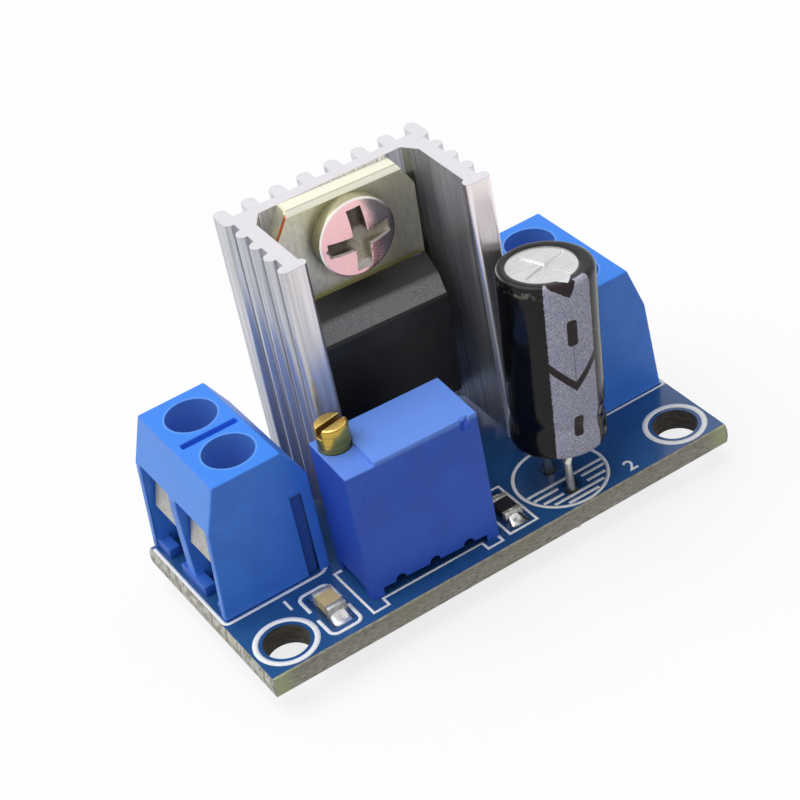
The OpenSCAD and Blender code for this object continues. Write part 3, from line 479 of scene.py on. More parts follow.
@dataclass(frozen=True)
class Extrusion(Finish):
    """Extruded aluminium: satin die lines up the walls, a matte sawn top, painted shade in the inner channel, low
    on the left outer wall and on the left lip's foot, and a painted pink-white reflection on the lips' upper
    fronts.
    """

    top: float = 24.8
    channel: Triple = (5.91, -0.95, 5.9)
    outside: float = -6.86

    def draw(self, g: Graph) -> None:
        """Writes the finish into a shader tree.

        Args:
            g: The tree.
        """
        x, y, z = g.axes()
        lines = g.noise(5200.0, 4.0, (1.0, 1.0, 60.0))
        broad = g.noise(900.0, stretch=(1.0, 1.0, 14.0))
        scuff = g.noise(2600.0, 4.0)
        side, front, back = self.channel
        sawn = z > self.top - 0.03
        lip = y < front
        outer = x < self.outside
        low = 1.0 - z.step(12.0, 19.0)
        near = lip * (1.0 - z.step(14.0, 22.0))
        channel = (abs(x - side) < 0.4) * (y > front) * (y < back)
        shaded = channel * (0.25 + lines * 0.35) * (1.0 - z.step(19.0, 25.0) * 0.8)
        dull = channel * 0.4 | outer * (0.36 + low * 0.16) | near * 0.55
        wall = g.layers(
            g.tint(lines.step(0.3, 0.72), (234, 234, 236), (178, 180, 188)),
            (broad.step(0.45, 0.7) * 0.5, (196, 197, 206)), (scuff.step(0.66, 0.74) * 0.5, (244, 243, 242)),
            # Painted shade in the inner channel and low on the left outer wall.
            (shaded, (92, 92, 100)), (outer * low * 0.22, (150, 151, 158)),
            # Painted shade on the foot of the left lip.
            (near * (x < 0.0) * 0.5, (150, 152, 158)),
            # Painted reflection: pink-white on the upper fronts of the lips, strongest on the right.
            (lip * z.step(14.0, 24.0) * (0.4 + (x > 0.0) * 0.55), (248, 238, 238)))
        cut = g.tint(scuff, (220, 217, 222), (234, 232, 236))
        g.surface(
            Base_Color=g.tint(sawn, wall, cut), Metallic=1.0 - (sawn * 0.8 | dull),
            Roughness=0.3 + (lines - 0.5) * 0.2 + sawn * 0.35,
            Normal=g.bump(lines * (1.0 - sawn) + scuff * sawn * 2.0, 2.2e-6))


@dataclass(frozen=True)
class RegulatorFrame(Finish):
    """Base of finishes that are laid out from the regulator's screw."""

    origin: Triple = (-0.125, 5.98, 21.53)
    turn: Triple = (0.0, 2.0, -1.05)

    def local(self, g: Graph) -> Axes:
        """Millimetres from the screw's axis."""
        return g.axes(self.origin, self.turn)


@dataclass(frozen=True)
class PlatedTab(RegulatorFrame):
    """Nickel-plated copper: satin grey with painted light to the left and top and painted shade to the right and
    round the screw head, a painted highlight on its top edge and bevel, copper at the cut corners.
    """

    bevel: float = 2.79
    cut: Point = (5.07, 1.44)
    cut_way: Point = (-0.862, 0.507)
    foot: float = -3.76
    head: float = 2.75

    def draw(self, g: Graph) -> None:
        """Writes the finish into a shader tree.

        Args:
            g: The tree.
        """
        x, y, z = self.local(g)
        fine = g.noise(3800.0, 4.0, (1.0, 1.0, 3.0))
        pits = g.noise(5200.0, 2.0).step(0.66, 0.72)
        beyond = (x + self.cut[0]) * self.cut_way[0] + (z - self.cut[1]) * self.cut_way[1]
        # The top edge and its bevel: a painted highlight, near white and less metallic.
        top_edge_highlight = z.step(self.bevel - 0.06, self.bevel + 0.01) * (beyond < -0.06)
        groove = (abs(y + 1.05) < 0.03) * top_edge_highlight * 0.5
        foot = 1.0 - (z + (fine - 0.5) * 0.5).step(self.foot + 0.25, self.foot + 0.45)
        glow = 1.0 - z.step(self.foot + 0.5, self.foot + 1.2)
        # Painted shadow round the screw head, darker to its left.
        screw_shadow = 1.0 - x.hypot(z).step(self.head, self.head + 0.9)
        copper = (beyond > -0.09) * (y < -1.18) * (z > self.cut[1] - 0.2) * (1.0 - top_edge_highlight)
        face = g.layers(
            g.tint(fine.step(0.3, 0.75), (204, 200, 182), (176, 173, 156)),
            # Painted light and shade: lighter to the left, darker to the right, yellower towards the top.
            ((1.0 - x.step(-4.8, -2.0)) * 0.4, (218, 212, 196)), (x.step(1.2, 4.9) * 0.3, (160, 158, 142)),
            (z.step(0.6, 2.7) * 0.4, (214, 211, 172)), (screw_shadow * (0.5 - x.step(-2.0, 2.0) * 0.3), (104, 100, 84)),
            (glow * 0.5, (196, 190, 170)), (foot * 0.85, (182, 176, 112)), (pits * 0.6, (228, 228, 218)),
            # Painted highlight on the top edge and its bevel.
            (top_edge_highlight, (252, 250, 230)), (groove, (168, 164, 138)), (copper, (186, 96, 58)))
        g.surface(
            Base_Color=face, Metallic=1.0 - top_edge_highlight * 0.8, Roughness=0.38 + (fine - 0.5) * 0.2 + top_edge_highlight * 0.1,
            Normal=g.bump(fine + pits, 1.6e-6))


@dataclass(frozen=True)
class Epoxy(RegulatorFrame):
    """Black moulding epoxy: smooth dark slope, grainy bevel under it whose pale grey is painted light, painted
    shade on the rounded edge below it, dull black front.
    """

    bevel_foot: float = -5.56
    band_foot: float = -5.39
    band_depth: Point = (-3.42, -3.02)

    def draw(self, g: Graph) -> None:
        """Writes the finish into a shader tree.

        Args:
            g: The tree.
        """
        _, y, z = self.local(g)
        grain = g.noise(11000.0, 3.0)
        cloud = g.noise(380.0)
        lit = z.step(self.band_foot - 0.03, self.band_foot + 0.03)
        # The grainy bevel: real grain, with its pale grey painted light.
        lit_band = lit * (1.0 - y.step(*self.band_depth))
        slope = lit - lit_band
        # Painted shade on the rounded edge below the bevel.
        strip_shade = z.step(self.bevel_foot - 0.04, self.bevel_foot + 0.04)
        smooth = g.tint(grain.step(0.6, 0.75) * 0.4, (58, 57, 60), (104, 103, 103))
        color = g.layers(
            g.tint(cloud.step(0.35, 0.7), (38, 38, 41), (48, 48, 51)), (strip_shade * 0.75, (14, 14, 15)),
            (slope, smooth), (lit_band * (0.55 + grain.step(0.3, 0.7) * 0.45), (150, 148, 150)))
        g.surface(
            Base_Color=color, Roughness=0.55 + lit_band * 0.15 - slope * 0.1 + (grain - 0.5) * 0.1,
            Normal=g.bump(grain * (0.2 + lit_band * 1.4), 8e-6), Specular_IOR_Level=0.35)


@dataclass(frozen=True)
class BrightScrew(RegulatorFrame):
    """Bright plated screw head: painted reflection that is rosy to one side and grey to the other, brown in the
    recess with painted shade and highlights.
    """

    turn: Triple = (0.0, 0.0, -1.05)
    dome: Point = (0.301, 3.751)
    rim: float = -2.25
    flat: float = 0.55
    recess: float = 2.35
    recess_foot: float = -1.9
    arm: float = 0.525
    arm_end: float = 2.25
    seat: float = -1.3
    grain: float = 8e-4
    calm: Point = (0.08, 0.15)

    def draw(self, g: Graph) -> None:
        """Writes the finish into a shader tree, with the dome's shading calmed to the left and below.

        Args:
            g: The tree.
        """
        x, y, z = self.local(g)
        fine = g.noise(4200.0)
        out = x.hypot(z)
        lift = y - self.rim
        sunk = self.dome[1] - out.hypot((lift / self.flat & lift) + (self.rim - self.dome[0]))
        deep = sunk.step(0.03, 0.12) * (out < self.recess) * (y < self.recess_foot)
        # Painted reflection: the face runs from rosy on the left to grey on the right.
        grey = (x + z * 0.15 + (fine - 0.5) * 0.5).step(0.7, 1.6)
        side = y.step(self.rim - 0.05, self.rim + 0.05)
        # Lighter above and to the left, darker below: painted light and shade on the side wall and the rim edge.
        upper = (z - x * 0.6).step(-1.2, 1.6)
        edge = (1.0 - abs(y - (self.rim - 0.02)).step(0.02, 0.07)) * (out > self.recess + 0.2)
        # Painted highlights on the recess walls that face up.
        ledge_highlight = (abs(z + self.arm) < 0.17) * (abs(x) > self.arm + 0.1) * (1.0 - sunk.step(0.4, 0.6))
        ledge_highlight = ledge_highlight | (z < 0.4 - self.arm_end) * (1.0 - sunk.step(0.6, 0.9))
        # Recess: beige and brown, darker deeper in and on the upper and left arms as painted shade, paler in the
        # middle, with dark specks and white painted highlights.
        pit = g.layers(
            g.tint(sunk.step(0.25, 1.0), (212, 202, 184), (176, 166, 146)), (z.step(0.4, 0.8), (106, 92, 82)),
            (1.0 - x.step(-0.9, -0.5), (124, 112, 102)), ((1.0 - out.step(0.3, 0.9)) * 0.8, (176, 172, 158)),
            (fine.step(0.5, 0.7) * 0.35, (70, 60, 50)), (ledge_highlight, (255, 252, 248)))
        # Painted reflection on the face, the side wall olive as a painted reflection of the tab, a painted
        # highlight along the rim edge, the shank end plain grey.
        face = g.layers(
            g.tint(grey, (255, 204, 208), (136, 128, 132)), (fine.step(0.6, 0.8) * 0.25, (240, 214, 216)),
            (side * 0.95, g.tint(upper, (60, 58, 48), (176, 174, 138))),
            (edge, g.tint(upper, (120, 92, 96), (252, 248, 242))),
            (y > self.seat, g.tint(fine, (196, 196, 194), (164, 163, 160))), (deep, pit))
        metal = (0.78 - (side | grey) * 0.1) * (1.0 - deep) + deep * (1.0 - ledge_highlight) * 0.4
        low, left = z & 0.0, x & 0.0
        calm = left * left * (self.calm[0] / self.grain) + low * low * (self.calm[1] / self.grain)
        g.surface(
            Base_Color=face, Metallic=metal, Roughness=0.22 + fine * 0.1,
            Normal=g.bump(fine * 0.4 + calm, self.grain * MM))


@dataclass(frozen=True)
class TrimmerPlastic(Finish):
    """Blue moulded trimmer case with soft mottling, painted shade on its left side and one shallow knit line on
    its front.
    """

    origin: Triple = (-4.431, -4.475, 3.1)
    turn: Triple = (0.0, 0.0, -2.75)
    left: float = -4.765
    front: float = -2.3
    knit: Triple = (-3.35, 8.9, 0.52)
    knit_ends: Point = (7.0, 9.6)

    def draw(self, g: Graph) -> None:
        """Writes the finish into a shader tree.

        Args:
            g: The tree.
        """
        x, y, z = g.axes(self.origin, self.turn)
        cloud = g.noise(340.0)
        skin = g.noise(9000.0)
        at_x, at_z, lean = self.knit
        knit = (abs(x - at_x - (z - at_z) * lean) < 0.035) * (y < self.front)
        knit = knit * (z > self.knit_ends[0]) * (z < self.knit_ends[1])
        # Painted shade on the left side.
        left = 1.0 - x.step(self.left - 0.04, self.left + 0.1)
        roof = z.step(9.75, 10.05)
        color = g.layers(
            g.tint(cloud.step(0.3, 0.72), (55, 101, 218), (48, 94, 206)),
            (skin.step(0.6, 0.8) * 0.25, (76, 122, 232)), (left * 0.9, (42, 77, 182)),
            (roof * (0.6 + skin * 0.4), (116, 164, 255)), (knit * 0.5, (44, 70, 160)))
        g.surface(
            Base_Color=color, Roughness=0.45 + (skin - 0.5) * 0.2,
            Normal=g.bump(skin + cloud * 1.5 - knit * 2.0, 4e-6), Specular_IOR_Level=0.4)


@dataclass(frozen=True)
class TurnedBrass(Finish):
    """Turned brass: fine rings on its end, a browned slot, a duller side."""

    axis: Triple = (-7.868, -3.174, 0.0)
    top: float = 14.85
    radius: float = 1.1

    def draw(self, g: Graph) -> None:
        """Writes the finish into a shader tree.

        Args:
            g: The tree.
        """
        x, y, z = g.axes(self.axis)
        rings = g.noise(9000.0, 2.0, (30.0, 30.0, 1.0))
        fine = g.noise(5200.0)
        end = z > self.top - 0.06
        side = x.hypot(y).step(self.radius - 0.07, self.radius - 0.03)
        slot = (1.0 - side) * (1.0 - end)
        wall = g.tint(rings.step(0.3, 0.75), (208, 178, 88), (176, 146, 66))
        face = g.layers(
            g.tint(fine.step(0.3, 0.75), (230, 200, 116), (210, 176, 90)), (side * (1.0 - end), wall),
            (slot * 0.85, (112, 74, 38)))
        g.surface(
            Base_Color=face, Metallic=1.0 - slot * 0.4, Normal=g.bump(rings, 4e-7),
            Roughness=0.3 + (fine - 0.5) * 0.1 + slot * 0.2)


@dataclass(frozen=True)
class PrintedSleeve(Finish):
    """Glossy black shrink sleeve with a speckled grey stripe, minus marks and a chevron, a painted highlight
    along the far side of its rim and a painted sheen under it.
    """

    origin: Triple = (6.904, -5.16, 6.65)
    turn: Triple = (-2.06, 5.28, 0.0)
    radius: float = 3.19
    stripe_at: float = -97.5
    stripe_half: float = 30.0
    marks: tuple[Triple, ...] = ((9.25, 0.36, 0.92), (2.35, 0.34, 0.78))
    mark_corner: float = 0.22
    chevron_tip: float = 5.35
    crease_top: float = 8.4
    tear_foot: float = 11.8
    rim: float = 12.64
    film: tuple[float, float, float, float] = (2.2, 2.95, 0.02, 0.29)

    def draw(self, g: Graph) -> None:
        """Writes the finish into a shader tree.

        Args:
            g: The tree.
        """
        x, y, z = g.axes(self.origin, self.turn)
        ragged = (g.noise(5200.0, 4.0) - 0.5) * 0.05
        speck = g.noise(9000.0, 3.0)
        cloud = g.noise(900.0)
        start, edge = math.radians(self.stripe_at), math.radians(self.stripe_half)
        along = y * math.cos(start) - x * math.sin(start)
        facing = x * math.cos(start) + y * math.sin(start)
        angle = along.math("ARCTAN2", along, facing)
        across = angle * self.radius
        out = x.hypot(y)

        inside = (1.0 - abs(angle + ragged).step(edge - 0.012, edge + 0.012)) * z.step(0.02, 0.1)
        tear = (z - self.tear_foot) * (1.55 - (across > 0.0) * 0.95) - abs(across) + ragged * 8.0
        printed = inside * (1.0 - tear.step(-0.03, 0.03)) * out.step(self.radius - 0.5, self.radius - 0.35)
        corner = self.mark_corner
        for middle, half_w, half_h in self.marks:
            past = ((abs(across) - (half_w - corner)) | 0.0).hypot((abs(z - middle) - (half_h - corner)) | 0.0)
            printed = printed * past.step(corner - 0.03, corner + 0.03)
        printed = printed * abs(z - self.chevron_tip - abs(across) * 0.98).step(0.3, 0.37)
        crease = (abs(across) < 0.035) * (z > self.chevron_tip) * (z < self.crease_top)
        inner, outer, at, half = self.film
        torn = abs(angle - at + ragged) < (1.0 - (out - inner) / (outer - inner)) * half
        torn = torn * (z > self.rim - 0.3)
        printed = printed * (1.0 - crease * 0.55) * (1.0 - torn)

        # Painted highlight: a pale line along the far side of the rim.
        rim = (1.0 - abs(z - self.rim).step(0.02, 0.06)) * (1.0 - facing.step(-1.2, 0.8))
        # Painted sheen: broken pale patches under the rim on the left.
        under = z.step(11.85, 12.1) * (1.0 - z.step(12.3, 12.45))
        sheen = under * angle.step(-2.0, -1.1) * (angle < -edge) * g.noise(1700.0).step(0.46, 0.6)
        black = g.layers(
            g.tint(cloud.step(0.3, 0.7), (13, 13, 15), (21, 21, 23)), (inside * 0.8, (46, 30, 34)),
            (rim * 0.8, (192, 190, 186)), (sheen * 0.6, (150, 144, 134)), (torn, (224, 230, 234)))
        ink = g.layers(
            g.tint(speck.step(0.35, 0.68), (154, 154, 176), (207, 207, 224)),
            (cloud.step(0.4, 0.7) * 0.4, (164, 166, 192)))
        g.surface(
            Base_Color=g.tint(printed, black, ink), Roughness=0.16 + printed * 0.34 + (speck - 0.5) * 0.08,
            Normal=g.bump(cloud * 1.4 + printed * speck * 0.5, 1.2e-5), Specular_IOR_Level=0.2,
            Coat_Weight=0.06 - printed * 0.06, Coat_Roughness=0.06)


class End(Enum):
    """The two ends of the board."""

    INPUT = "input"
    OUTPUT = "output"


INK = Ink("white_legend")
TERMINAL_BLUE = TerminalPlastic("terminal_blue")
CLAMP_TIN = DrawnMetal("clamp_tin", (188, 188, 186), (164, 160, 154), 0.45)
SCREW_ZINC = DrawnMetal("screw_zinc", (206, 208, 212), (170, 172, 178), 0.3, EVEN)
LEAD_TIN = DrawnMetal("lead_tin", (214, 212, 206), (188, 186, 178), 0.32, relief=4e-7, blotch=0.15)
SOLDER = DrawnMetal("bright_solder", (226, 227, 228), (150, 150, 150), 0.2, EVEN, 2600.0, 6e-6)
BRASS = TurnedBrass("turned_brass")
CAN = DrawnMetal("can_aluminium", (222, 221, 222), (198, 198, 200), 0.34, (14.0, 1.0, 1.0), 4200.0)
CHIP_TAN = Moulded("chip_tan", (203, 184, 134), (188, 168, 118), 0.6, 3e-6, 8000.0)
CHIP_TIN = DrawnMetal("chip_tin", (216, 214, 206), (150, 146, 136), 0.5, EVEN, 5200.0, 4e-6)
CHIP_BLACK = Moulded("chip_black", (38, 38, 42), (28, 28, 31), 0.35, 1e-6)
RUBBER = Moulded("bung_rubber", (40, 40, 42), (30, 30, 32), 0.7, 4e-6)
NYLON = Moulded("rotor_nylon", (226, 222, 210), (214, 208, 194), 0.5)
BRONZE = DrawnMetal("wiper_bronze", (214, 176, 96), (186, 144, 70), 0.3)
ALUMINA = Moulded("element_alumina", (236, 235, 228), (224, 222, 212), 0.6)
RESIN = Moulded("base_resin", (40, 41, 46), (30, 31, 36), 0.45)


class Shapes:
    """Mesh work shared by the sub-assemblies."""

    @staticmethod
    def add(name: str, data: bpy.types.ID) -> bpy.types.Object:
        """Puts a new object into the scene at the origin.

        Args:
            name: The object's name.
            data: Its mesh, curve, light or camera.

        Returns:
            The new object.
        """
        made = bpy.data.objects.new(name, data)
        bpy.context.scene.collection.objects.link(made)
        return made

    @staticmethod
    def coat(mesh: bpy.types.Mesh, finish: Finish) -> None:
        """Gives a mesh one finish."""
        mesh.materials.clear()
        mesh.materials.append(finish.material())

    @staticmethod
    def bake(made: bpy.types.Object) -> bpy.types.Mesh:
        """The plain mesh that an object with its modifiers comes to."""
        graph = bpy.context.evaluated_depsgraph_get()
        return bpy.data.meshes.new_from_object(made.evaluated_get(graph), depsgraph=graph)

    @staticmethod
    def round_off(mesh: bpy.types.Mesh, angle: float) -> None:
        """Shades a mesh smooth, apart from edges that turn by more degrees than the angle."""
        mesh.polygons.foreach_set("use_smooth", [True] * len(mesh.polygons))
        mesh.set_sharp_from_angle(angle=math.radians(angle))

    @staticmethod
    def settle(made: bpy.types.Object, slot: str, nodes: Sequence[str] = (), body: str = ROOT) -> None:
        """Ties a piece to its body and hides the solids it stands for.

        Args:
            made: The piece.
            slot: The record's material slot; not used.
            nodes: Solids that it stands for.
            body: The body that carries it.
        """
        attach(made, body)
        if nodes:
            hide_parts(*nodes)
        LOG.info("%s: %d faces, on %s", made.name, len(made.data.polygons), body)

    @classmethod
    def dress(cls, finish: Finish, *nodes: str) -> None:
        """Gives solids that show as they are their finish."""
        for node in nodes:
            cls.coat(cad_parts[node].data, finish)

    @classmethod
    def soften(cls, node: str, width: float, finish: Finish, slot: str, sharp: float = 40.0,
               shortest: float = 0.0, body: str = ROOT) -> bpy.types.Object:
        """Makes a piece from a solid, with its sharp edges rounded.

        Args:
            node: The solid.
            width: Width of the rounding.
            finish: The piece's finish.
            slot: The record's material slot.
            sharp: Edges that turn by more degrees than this are rounded.
            shortest: Edges shorter than this stay as they are.
            body: The body that carries the piece.

        Returns:
            The piece, in place of the solid.
        """
        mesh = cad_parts[node].data.copy()
        bm = bmesh.new()
        bm.from_mesh(mesh)
        bmesh.ops.remove_doubles(bm, verts=bm.verts, dist=1e-7)
        bmesh.ops.dissolve_limit(bm, angle_limit=math.radians(0.6), verts=bm.verts, edges=bm.edges)
        limit = math.radians(sharp)
        edges = [e for e in bm.edges if len(e.link_faces) == 2 and e.calc_face_angle(0.0) > limit
                 and e.calc_length() >= shortest * MM]
        bmesh.ops.bevel(bm, geom=edges, offset=width * MM, offset_type="OFFSET", segments=2, profile=0.5,
                        affect="EDGES", clamp_overlap=True)
        bm.to_mesh(mesh)
        bm.free()
        cls.coat(mesh, finish)
        made = cls.add(f"{node}_soft", mesh)
        cls.weigh(made, 48.0)
        cls.settle(made, slot, [node], body)
        return made

    @classmethod
    def weigh(cls, made: bpy.types.Object, angle: float) -> None:
        """Shades a piece smooth, with its wide faces kept flat.

        Args:
            made: The piece.
            angle: Edges that turn by more degrees than this stay sharp.
        """
        mesh = made.data
        cls.round_off(mesh, angle)
        weigh = made.modifiers.new("weigh", "WEIGHTED_NORMAL")
        weigh.keep_sharp = True
        weigh.weight = 100
        made.data = cls.bake(made)
        made.modifiers.clear()
        bpy.data.meshes.remove(mesh)

    @staticmethod
    def grid(bm: bmesh.types.BMesh, rows: Rows) -> None:
        """Fills the faces between rows of points.

        Args:
            bm: The mesh that holds the points.
            rows: Rows of the same length.
        """
        for first, second in zip(rows, rows[1:]):
            for k in range(len(first) - 1):
                bm.faces.new((first[k], second[k], second[k + 1], first[k + 1]))

    @classmethod
    def form(cls, name: str, bm: bmesh.types.BMesh, angle: float, finish: Finish) -> bpy.types.Object:
        """Makes a piece from a shape that was built point by point.

        Args:
            name: The piece's name.
            bm: The closed shape, which is used up.
            angle: Edges that turn by more degrees than this stay sharp.
            finish: The piece's finish.

        Returns:
            The new piece.
        """
        bmesh.ops.recalc_face_normals(bm, faces=bm.faces)
        mesh = bpy.data.meshes.new(name)
        bm.to_mesh(mesh)
        bm.free()
        cls.round_off(mesh, angle)
        cls.coat(mesh, finish)
        return cls.add(name, mesh)


class InkTree(Tree):
    """A geometry tree that prints flat ink, with named inputs, turned into plain meshes."""

    def __init__(self, name: str, width: float, **sizes: float) -> None:
        """Starts a tree.

        Args:
            name: The tree's name.
            width: Width of its lines.
            sizes: Further sizes by name.
        """
        self.tree = bpy.data.node_groups.new(name, "GeometryNodeTree")
        self.sizes = {"Line Width": width, "Line Height": INK_HEIGHT, **sizes}
        sockets = self.tree.interface
        sockets.new_socket("Geometry", in_out="INPUT", socket_type="NodeSocketGeometry")
        for key in self.sizes:
            sockets.new_socket(key, in_out="INPUT", socket_type="NodeSocketFloat")
        sockets.new_socket("Finish", in_out="INPUT", socket_type="NodeSocketMaterial")
        sockets.new_socket("Geometry", in_out="OUTPUT", socket_type="NodeSocketGeometry")
        self.start = self.node("NodeGroupInput").outputs

    def sweep(self, curve: Socket) -> Socket:
        """Lays the ink's flat section along a curve.

        Args:
            curve: The curve to follow.

        Returns:
            The swept mesh.
        """
        level = self.node("GeometryNodeSetCurveNormal", {"mode": "Z_UP"}, {"Curve": curve})
        section = self.node("GeometryNodeCurvePrimitiveQuadrilateral", None,
                            {"Width": self.start["Line Width"], "Height": self.start["Line Height"]})
        return self.node("GeometryNodeCurveToMesh", None, {
            "Curve": level.outputs[0], "Profile Curve": section.outputs[0], "Fill Caps": True}).outputs[0]

    def end(self, geometry: Socket) -> None:
        """Ends the tree in plain geometry with its finish.

        Args:
            geometry: What the tree has made.
        """
        real = self.node("GeometryNodeRealizeInstances", None, {0: geometry})
        done = self.node("GeometryNodeSetMaterial", None,
                         {"Geometry": real.outputs[0], "Material": self.start["Finish"]})
        self.node("NodeGroupOutput", None, {0: done.outputs[0]})

    def grow(self, name: str, data: bpy.types.ID) -> None:
        """Runs the tree on a curve or on points and keeps the plain mesh as a piece.

        Args:
            name: The new piece's name.
            data: Curve or points that the tree starts from.
        """
        base = Shapes.add(f"{name}_base", data)
        grown = base.modifiers.new("grow", "NODES")
        grown.node_group = self.tree
        for item in self.tree.interface.items_tree:
            if item.in_out == "INPUT" and item.name in self.sizes:
                grown[item.identifier] = self.sizes[item.name] * MM
            elif item.in_out == "INPUT" and item.name == "Finish":
                grown[item.identifier] = INK.material()
        mesh = Shapes.bake(base)
        base.modifiers.remove(grown)
        bpy.data.objects.remove(base)
        Shapes.settle(Shapes.add(name, mesh), "solder_mask")


class LineTree(InkTree):
    """Flat printed line along every path of a curve."""

    def __init__(self, name: str, width: float) -> None:
        """Builds the tree for one line width."""
        super().__init__(name, width)
        self.end(self.sweep(self.start["Geometry"]))


class RingTree(InkTree):
    """One flat printed ring at every point."""

    def __init__(self, name: str, radius: float, width: float, steps: int = 64) -> None:
        """Builds the tree.

        Args:
            name: The tree's name.
            radius: Radius of the ring's middle.
            width: Width of the ring.
            steps: Steps round the ring.
        """
        super().__init__(name, width, **{"Ring Radius": radius})
        loop = self.node("GeometryNodeCurvePrimitiveCircle", None,
                         {"Resolution": steps, "Radius": self.start["Ring Radius"]})
        spread = self.node("GeometryNodeInstanceOnPoints", None,
                           {"Points": self.start["Geometry"], "Instance": self.sweep(loop.outputs[0])})
        self.end(spread.outputs[0])


def arc(center: Point, radius: float, start: float, end: float, steps: int = 8) -> list[Point]:
    """Points along an arc.

    Args:
        center: The arc's middle.
        radius: Its radius.
        start: Angle of its first point in degrees.
        end: Angle of its last point in degrees.
        steps: Steps along it.

    Returns:
        The points in order.
    """
    angles = [math.radians(start + (end - start) * i / steps) for i in range(steps + 1)]
    return [(center[0] + radius * math.cos(a), center[1] + radius * math.sin(a)) for a in angles]


@dataclass
class Board:
    """Circuit board: laminate, printed legend and rings round the holes."""

    look: Laminate = Laminate("board_laminate")
    line: float = 0.25
    hatch_line: float = 0.24
    ring: Point = (2.0, 0.38)
    can: Triple = (6.6, -4.97, 3.185)
    end_x: float = 17.63
    box_corner: float = 0.5
    hatch_full: tuple[float, ...] = (-5.4, -7.15, -7.65)
    hatch_split: tuple[float, ...] = (-5.95, -6.6)
    hatch_gap: Point = (5.7, 7.6)
    numbers: tuple[tuple[str, float, float], ...] = (("1", -13.65, -3.25), ("2", 10.6, -7.4))
    number_height: float = 1.05

    def outlines(self) -> list[Path]:
        """The printed outlines of the parts.

        Returns:
            Points of each path, and whether it is closed.
        """
        end, r = self.end_x, self.box_corner
        left = [(-end, 8.0), *arc((0.35 - end, -1.7), 0.35, 180, 270), *arc((-10.6, -1.15), 0.9, -90, 0),
                (-9.7, 8.0)]
        right = [(9.7, 8.0), (9.7, -1.95), (end, -1.95), (end, 8.0)]
        trimmer = [(-9.3, -2.75), (-9.85, -2.75), (-9.85, -7.65), (-8.7, -7.65), (-8.7, -6.9), (-1.05, -6.9),
                   (-1.05, -7.65), (0.1, -7.65), (0.1, -6.6)]
        resistor = [(0.8, -2.95), (2.95, -2.95), (2.95, -7.45), (0.8, -7.45)]
        back = [(-12.9, -4.85), *arc((-12.4, -3.6), r, 180, 90), *arc((-11.15, -3.6), r, 90, 0), (-10.65, -4.85)]
        front = [(-12.9, -5.75), *arc((-12.4, -7.15), r, 180, 270), *arc((-11.15, -7.15), r, 270, 360),
                 (-10.65, -5.75)]
        return [(left, False), (right, False), (trimmer, False), (resistor, True), (back, False), (front, False)]

    def hatch(self) -> list[Path]:
        """The capacitor's circle and the lines across its marked half.

        Returns:
            Points of each path, and whether it is closed.
        """
        x, y, r = self.can
        found = [(arc((x, y), r, 0, 360, 72)[:-1], True)]
        for level in self.hatch_full + self.hatch_split:
            reach = r - self.hatch_line * 0.55
            half = math.sqrt(reach * reach - (abs(level - y) + self.hatch_line / 2) ** 2)
            ends = [(x - half, x + half)]
            if level in self.hatch_split:
                ends = [(x - half, self.hatch_gap[0]), (self.hatch_gap[1], x + half)]
            found += [([(a, level), (b, level)], False) for a, b in ends]
        return found

    def legend(self, name: str, paths: list[Path], width: float) -> None:
        """Prints a set of lines.

        Args:
            name: The piece's name.
            paths: Points of each path, and whether it is closed.
            width: Width of the lines.
        """
        curve = bpy.data.curves.new(f"{name}_paths", "CURVE")
        curve.dimensions = "3D"
        for points, closed in paths:
            spline = curve.splines.new("POLY")
            spline.points.add(len(points) - 1)
            for at, (x, y) in zip(spline.points, points):
                at.co = (x * MM, y * MM, INK_LEVEL * MM, 1.0)
            spline.use_cyclic_u = closed
        LineTree(name, width).grow(name, curve)

    def rings(self) -> None:
        """Prints the rings round the mounting holes."""
        mesh = bpy.data.meshes.new("hole_ring_points")
        x, y = self.look.hole
        mesh.from_pydata([Vector((s * x, y, INK_LEVEL)) * MM for s in (-1, 1)], [], [])
        RingTree("hole_ring", *self.ring).grow("board_hole_rings", mesh)

    def label(self, text: str, x: float, y: float) -> None:
        """Prints one number.

        Args:
            text: The number.
            x: Its middle along the board.
            y: Its middle across the board.
        """
        font = bpy.data.curves.new(f"number_{text}", "FONT")
        font.body = text
        font.size = self.number_height / 0.7 * MM
        font.extrude = INK_HEIGHT / 2 * MM
        font.offset = 0.02 * MM
        font.align_x = "CENTER"
        font.align_y = "CENTER"
        base = Shapes.add(f"number_{text}", font)
        mesh = Shapes.bake(base)
        bpy.data.objects.remove(base)
        mesh.transform(pose((x, y, INK_LEVEL), (0, 0, 0)))
        Shapes.coat(mesh, INK)
        Shapes.settle(Shapes.add(f"board_number_{text}", mesh), "solder_mask")

    def build(self) -> None:
        """Makes and dresses the board."""
        Shapes.dress(self.look, "circuit_board")
        self.legend("board_legend", self.outlines(), self.line)
        self.legend("board_hatch", self.hatch(), self.hatch_line)
        self.rings()
        for number in self.numbers:
            self.label(*number)
        Shapes.dress(SOLDER, "pin_solder")


@dataclass
class Terminal:
    """One two-pole screw terminal."""

    end: End
    rounding: float = 0.09
    frame_rounding: float = 0.06

    def build(self) -> None:
        """Makes and dresses the terminal."""
        name = self.end.value
        Shapes.soften(f"{name}_terminal_housing", self.rounding, TERMINAL_BLUE, "terminal_plastic", 13.5, 0.3)
        for pole in (1, 2):
            Shapes.soften(f"{name}_clamp_frame_{pole}", self.frame_rounding, CLAMP_TIN, "tinned_clamp")
            Shapes.dress(SCREW_ZINC, f"{name}_clamp_screw_{pole}", f"{name}_pressure_pad_{pole}")


@dataclass
class Heatsink:
    """Ribbed aluminium extrusion."""

    rounding: float = 0.04

    def build(self) -> None:
        """Makes and dresses the heatsink."""
        Shapes.soften("heatsink", self.rounding, Extrusion("extruded_aluminium"), "extruded_aluminium")


